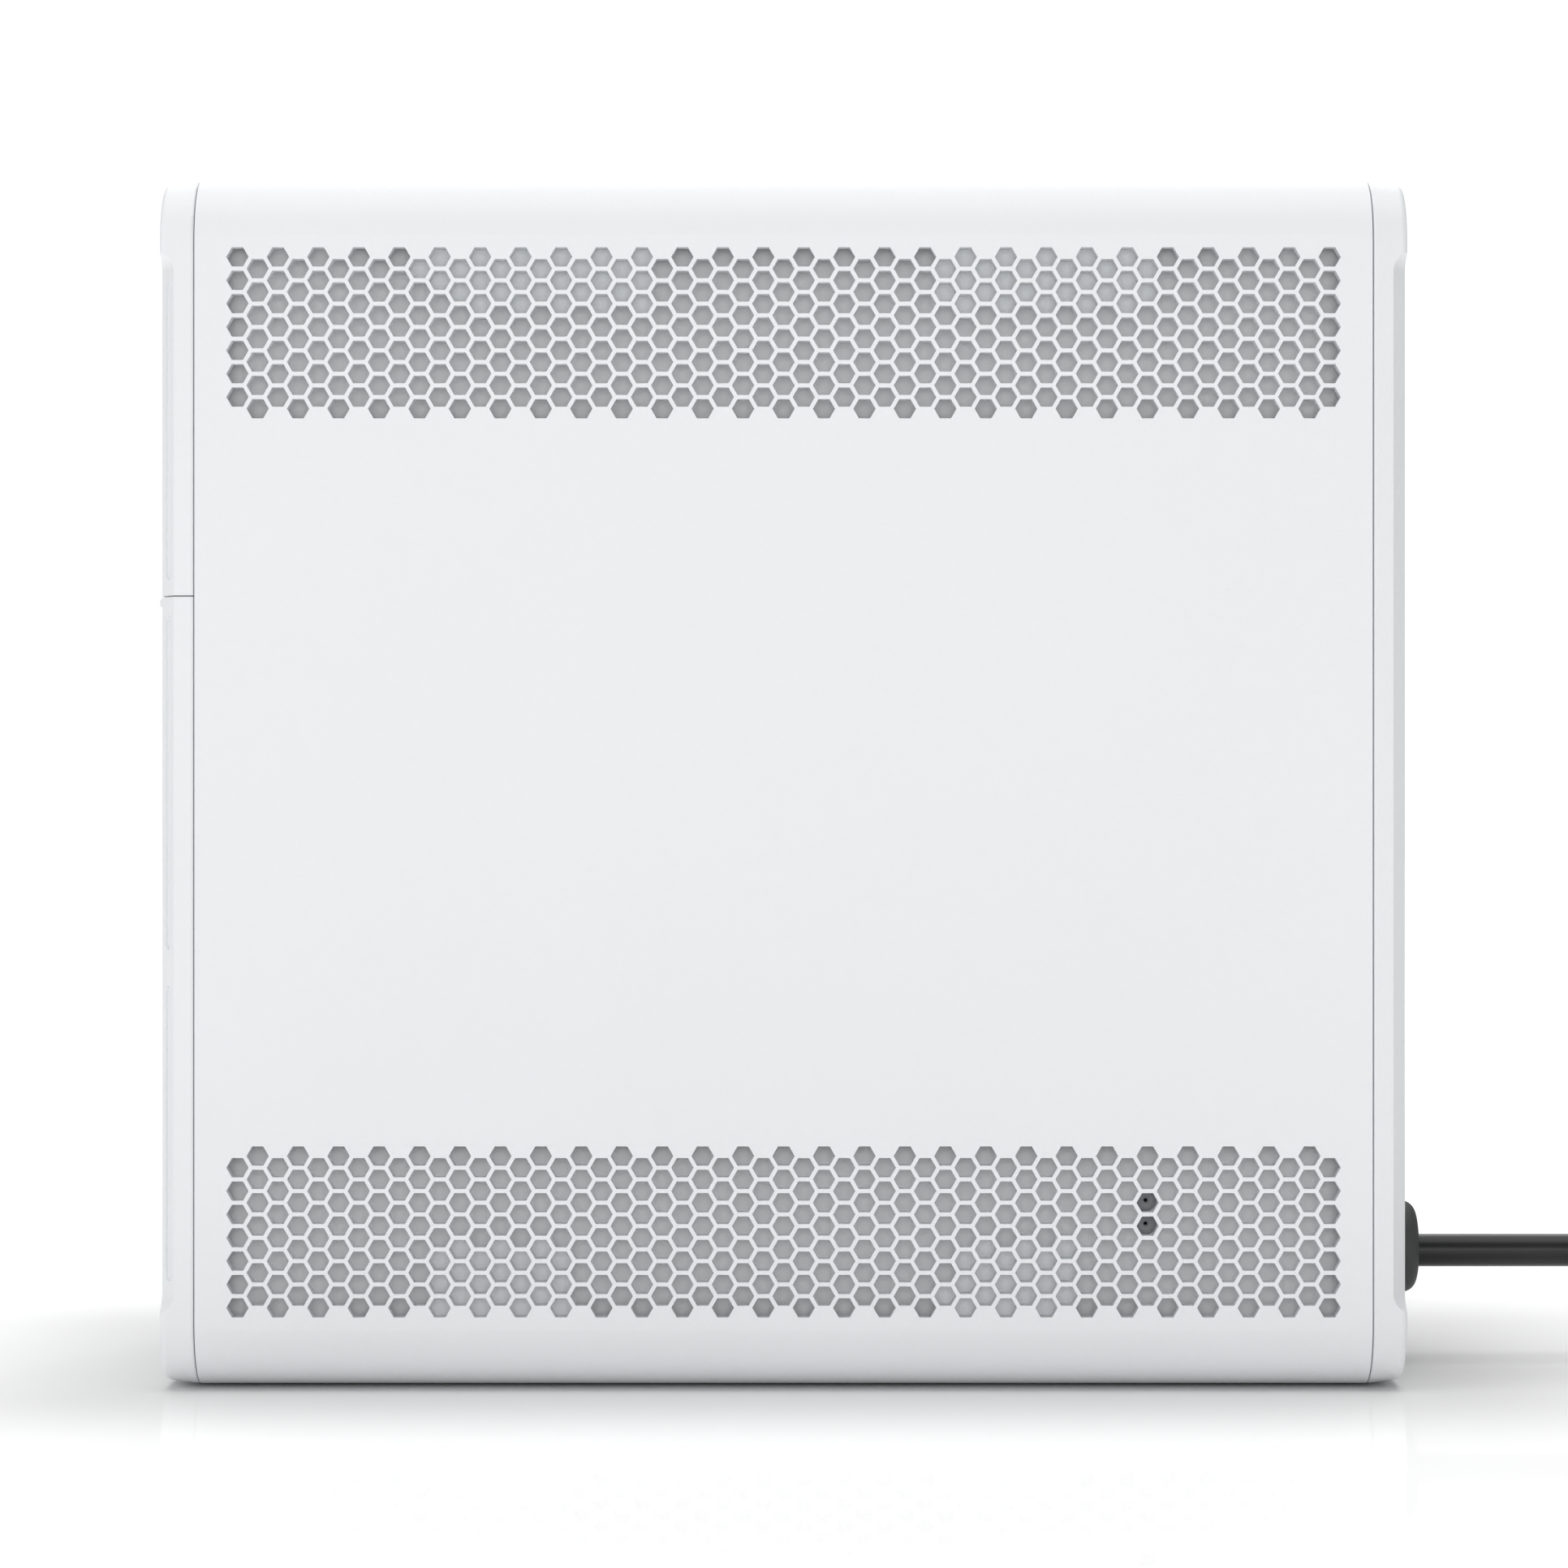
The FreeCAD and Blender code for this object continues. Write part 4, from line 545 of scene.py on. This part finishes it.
# %% Make the finishes, one for each material of the model
finishes = {
    "casing": moulded("white_casing", "eceef0", 0.46, 0.42, 0.55, 0.02, Specular_IOR_Level=0.4),
    "baffle": moulded("vent_screen", "f4f5f6", 0.6, 0.5, 0.3, 0.03),
    "foot_rubber": moulded("foot_rubber", "3a3b3d", 0.8, 0.3, 0.7, 0.2),
    "inner_plastic": moulded("dark_inner_plastic", "45474b", 0.5, 0.5, 0.5, 0.12),
    "smoked_window": moulded("smoked_window", "101114", 0.06, 2.0, 0.02, 0.0, Coat_Weight=0.6),
    "clear_guide": moulded("light_guide", "dfe6ea", 0.2, 1.0, 0.05, 0.0),
    "board_green": moulded("solder_mask", "14523a", 0.28, 0.9, 0.25, 0.25, Coat_Weight=0.3),
    "black_plastic": moulded("black_plastic", "1d1e20", 0.42, 0.35, 0.5, 0.15),
    "button_plastic": moulded("button_cap", "e1e3e5", 0.32, 0.4, 0.2, 0.02, Coat_Weight=0.2),
    "plated_steel": metal("zinc_plate", "b9bcc0", 0.34, 0.4),
    "bright_metal": metal("nickel_plate", "d3d5d8", 0.14, 0.2),
    "battery_case": moulded("battery_case", "35393f", 0.55, 0.6, 0.5, 0.15),
    "brass": metal("contact_brass", "d3a84c", 0.22, 0.25, (300.0, 300.0, 300.0)),
    "pull_strap": moulded("woven_strap", "2262b4", 0.75, 0.8, 1.0, 0.2, Sheen_Weight=0.4),
    "jack_shield": metal("tinned_shield", "c8cbcf", 0.25, 0.5, (900.0, 900.0, 60.0)),
    "chip_black": moulded("chip_epoxy", "232427", 0.55, 0.25, 0.4, 0.1),
    "heat_sink_metal": metal("anodised_fins", "8f9399", 0.38, 0.3, (900.0, 60.0, 900.0)),
    "transformer_core": moulded("varnished_core", "40342e", 0.35, 0.8, 0.4, 0.3, Coat_Weight=0.3),
    "capacitor_sleeve": moulded("shrink_sleeve", "1f3263", 0.25, 1.5, 0.1, 0.1),
    "terminal_green": moulded("terminal_green", "2f7d4b", 0.4, 0.5, 0.3, 0.1),
    "lead_insulation": moulded("lead_insulation", "2a2b2e", 0.38, 0.8, 0.15, 0.1),
    "antenna_board": moulded("antenna_laminate", "8b6a24", 0.3, 1.2, 0.2, 0.3, Coat_Weight=0.3),
    "panel_paint": moulded("powder_coat", "d4d6d9", 0.48, 0.7, 0.8, 0.04),
    "grommet": moulded("grommet_rubber", "96989a", 0.6, 0.3, 0.4, 0.06),
    "cord_rubber": moulded("bush_rubber", "3c403f", 0.55, 0.3, 0.25, 0.08, Specular_IOR_Level=0.4),
    "cord_jacket": moulded("cord_jacket", "18191a", 0.3, 0.5, 0.12, 0.1, Specular_IOR_Level=0.3),
    "plug_rubber": moulded("plug_rubber", "222325", 0.5, 0.35, 0.4, 0.12),
}
# Painted shade: the casing's inward faces go dark grey so the gap behind the vents looks black.
paint_inner_shade(finishes["casing"], "2c2d2f")
print("finishes:", len(finishes))

# %% Put each finish on its nodes
slot_of = {entry["node"]: entry["material_slot"] for entry in frame["record"]["subparts"]}
for name, part in frame["nodes"].items():
    part.data.materials.clear()
    part.data.materials.append(finishes[slot_of[name]])
cord.data.materials.append(finishes["cord_jacket"])
print("nodes with a finish:", len(frame["nodes"]))

# %% [markdown]
# ## Grommets in the lead holes
# Two leads pass through the lower screen, and a bare hole in thin sheet would chafe them. The real
# answer is a soft grommet: a ring with a groove that the sheet sits in and a small bore. It could be
# a torus, but a ring turned from its own profile has the flat flange and the rounded lip. The
# screen's mesh says where its holes are, so the rings fit whatever the model has.

# %% Find the holes and turn a grommet for each
border = 3 * MM
least_gap = 0.75 * MM


def lead_holes(screen):
    """Centres and radii of the round holes through a screen, read from its mesh."""
    low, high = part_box(screen)
    points = [v.co for v in frame["nodes"][screen].data.vertices]
    inner = sorted((p for p in points if low.z + border < p.z < high.z - border), key=lambda p: p.z)
    groups = [[inner[0]]]
    for point in inner[1:]:
        if point.z - groups[-1][-1].z > least_gap:
            groups.append([])
        groups[-1].append(point)
    holes = []
    for rim in groups:
        middle = sum(rim, Vector()) / len(rim)
        holes.append((middle, max(math.hypot(p.x - middle.x, p.z - middle.z) for p in rim)))
    return holes


def turned_ring(name, centre, profile, sides=48):
    """Turns a closed (radius, y) profile about the line through centre along Y."""
    mesh = bpy.data.meshes.new(name)
    count = len(profile)
    points = []
    for step in range(sides):
        angle = math.tau * step / sides
        across, up = math.cos(angle), math.sin(angle)
        for radius, y in profile:
            points.append((centre.x + radius * across, centre.y + y, centre.z + radius * up))
    faces = []
    for step in range(sides):
        for i in range(count):
            here, there = step * count, (step + 1) % sides * count
            j = (i + 1) % count
            faces.append((here + i, here + j, there + j, there + i))
    mesh.from_pydata(points, [], faces)
    mesh.shade_smooth()
    ring = bpy.data.objects.new(name, mesh)
    bpy.context.scene.collection.objects.link(ring)
    return ring


bore = 0.4 * MM
lip = 0.4 * MM
sheet_half = 0.6 * MM
flange_overlap = 0.3 * MM
flange_thickness = 0.7 * MM
for number, (middle, radius) in enumerate(lead_holes("near_lower_baffle"), 1):
    flange = radius + flange_overlap
    face = sheet_half + flange_thickness
    profile = [
        (bore, -face + lip), (bore + lip, -face), (flange - lip, -face), (flange, -face + lip),
        (flange, -sheet_half), (radius, -sheet_half), (radius, sheet_half), (flange, sheet_half),
        (flange - lip, face), (bore + lip, face), (bore, face - lip),
    ]
    grommet = turned_ring(f"lead_grommet_{number}", middle, profile)
    grommet.data.materials.append(finishes["grommet"])
    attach(grommet, "case")
    print(grommet.name, "radius", round(radius / MM, 2), "mm at", [round(c / MM, 1) for c in middle])

# %% [markdown]
# ## Closing
# The pieces added here have to stay inside the model's own box.

# %% Close
print("scene built")
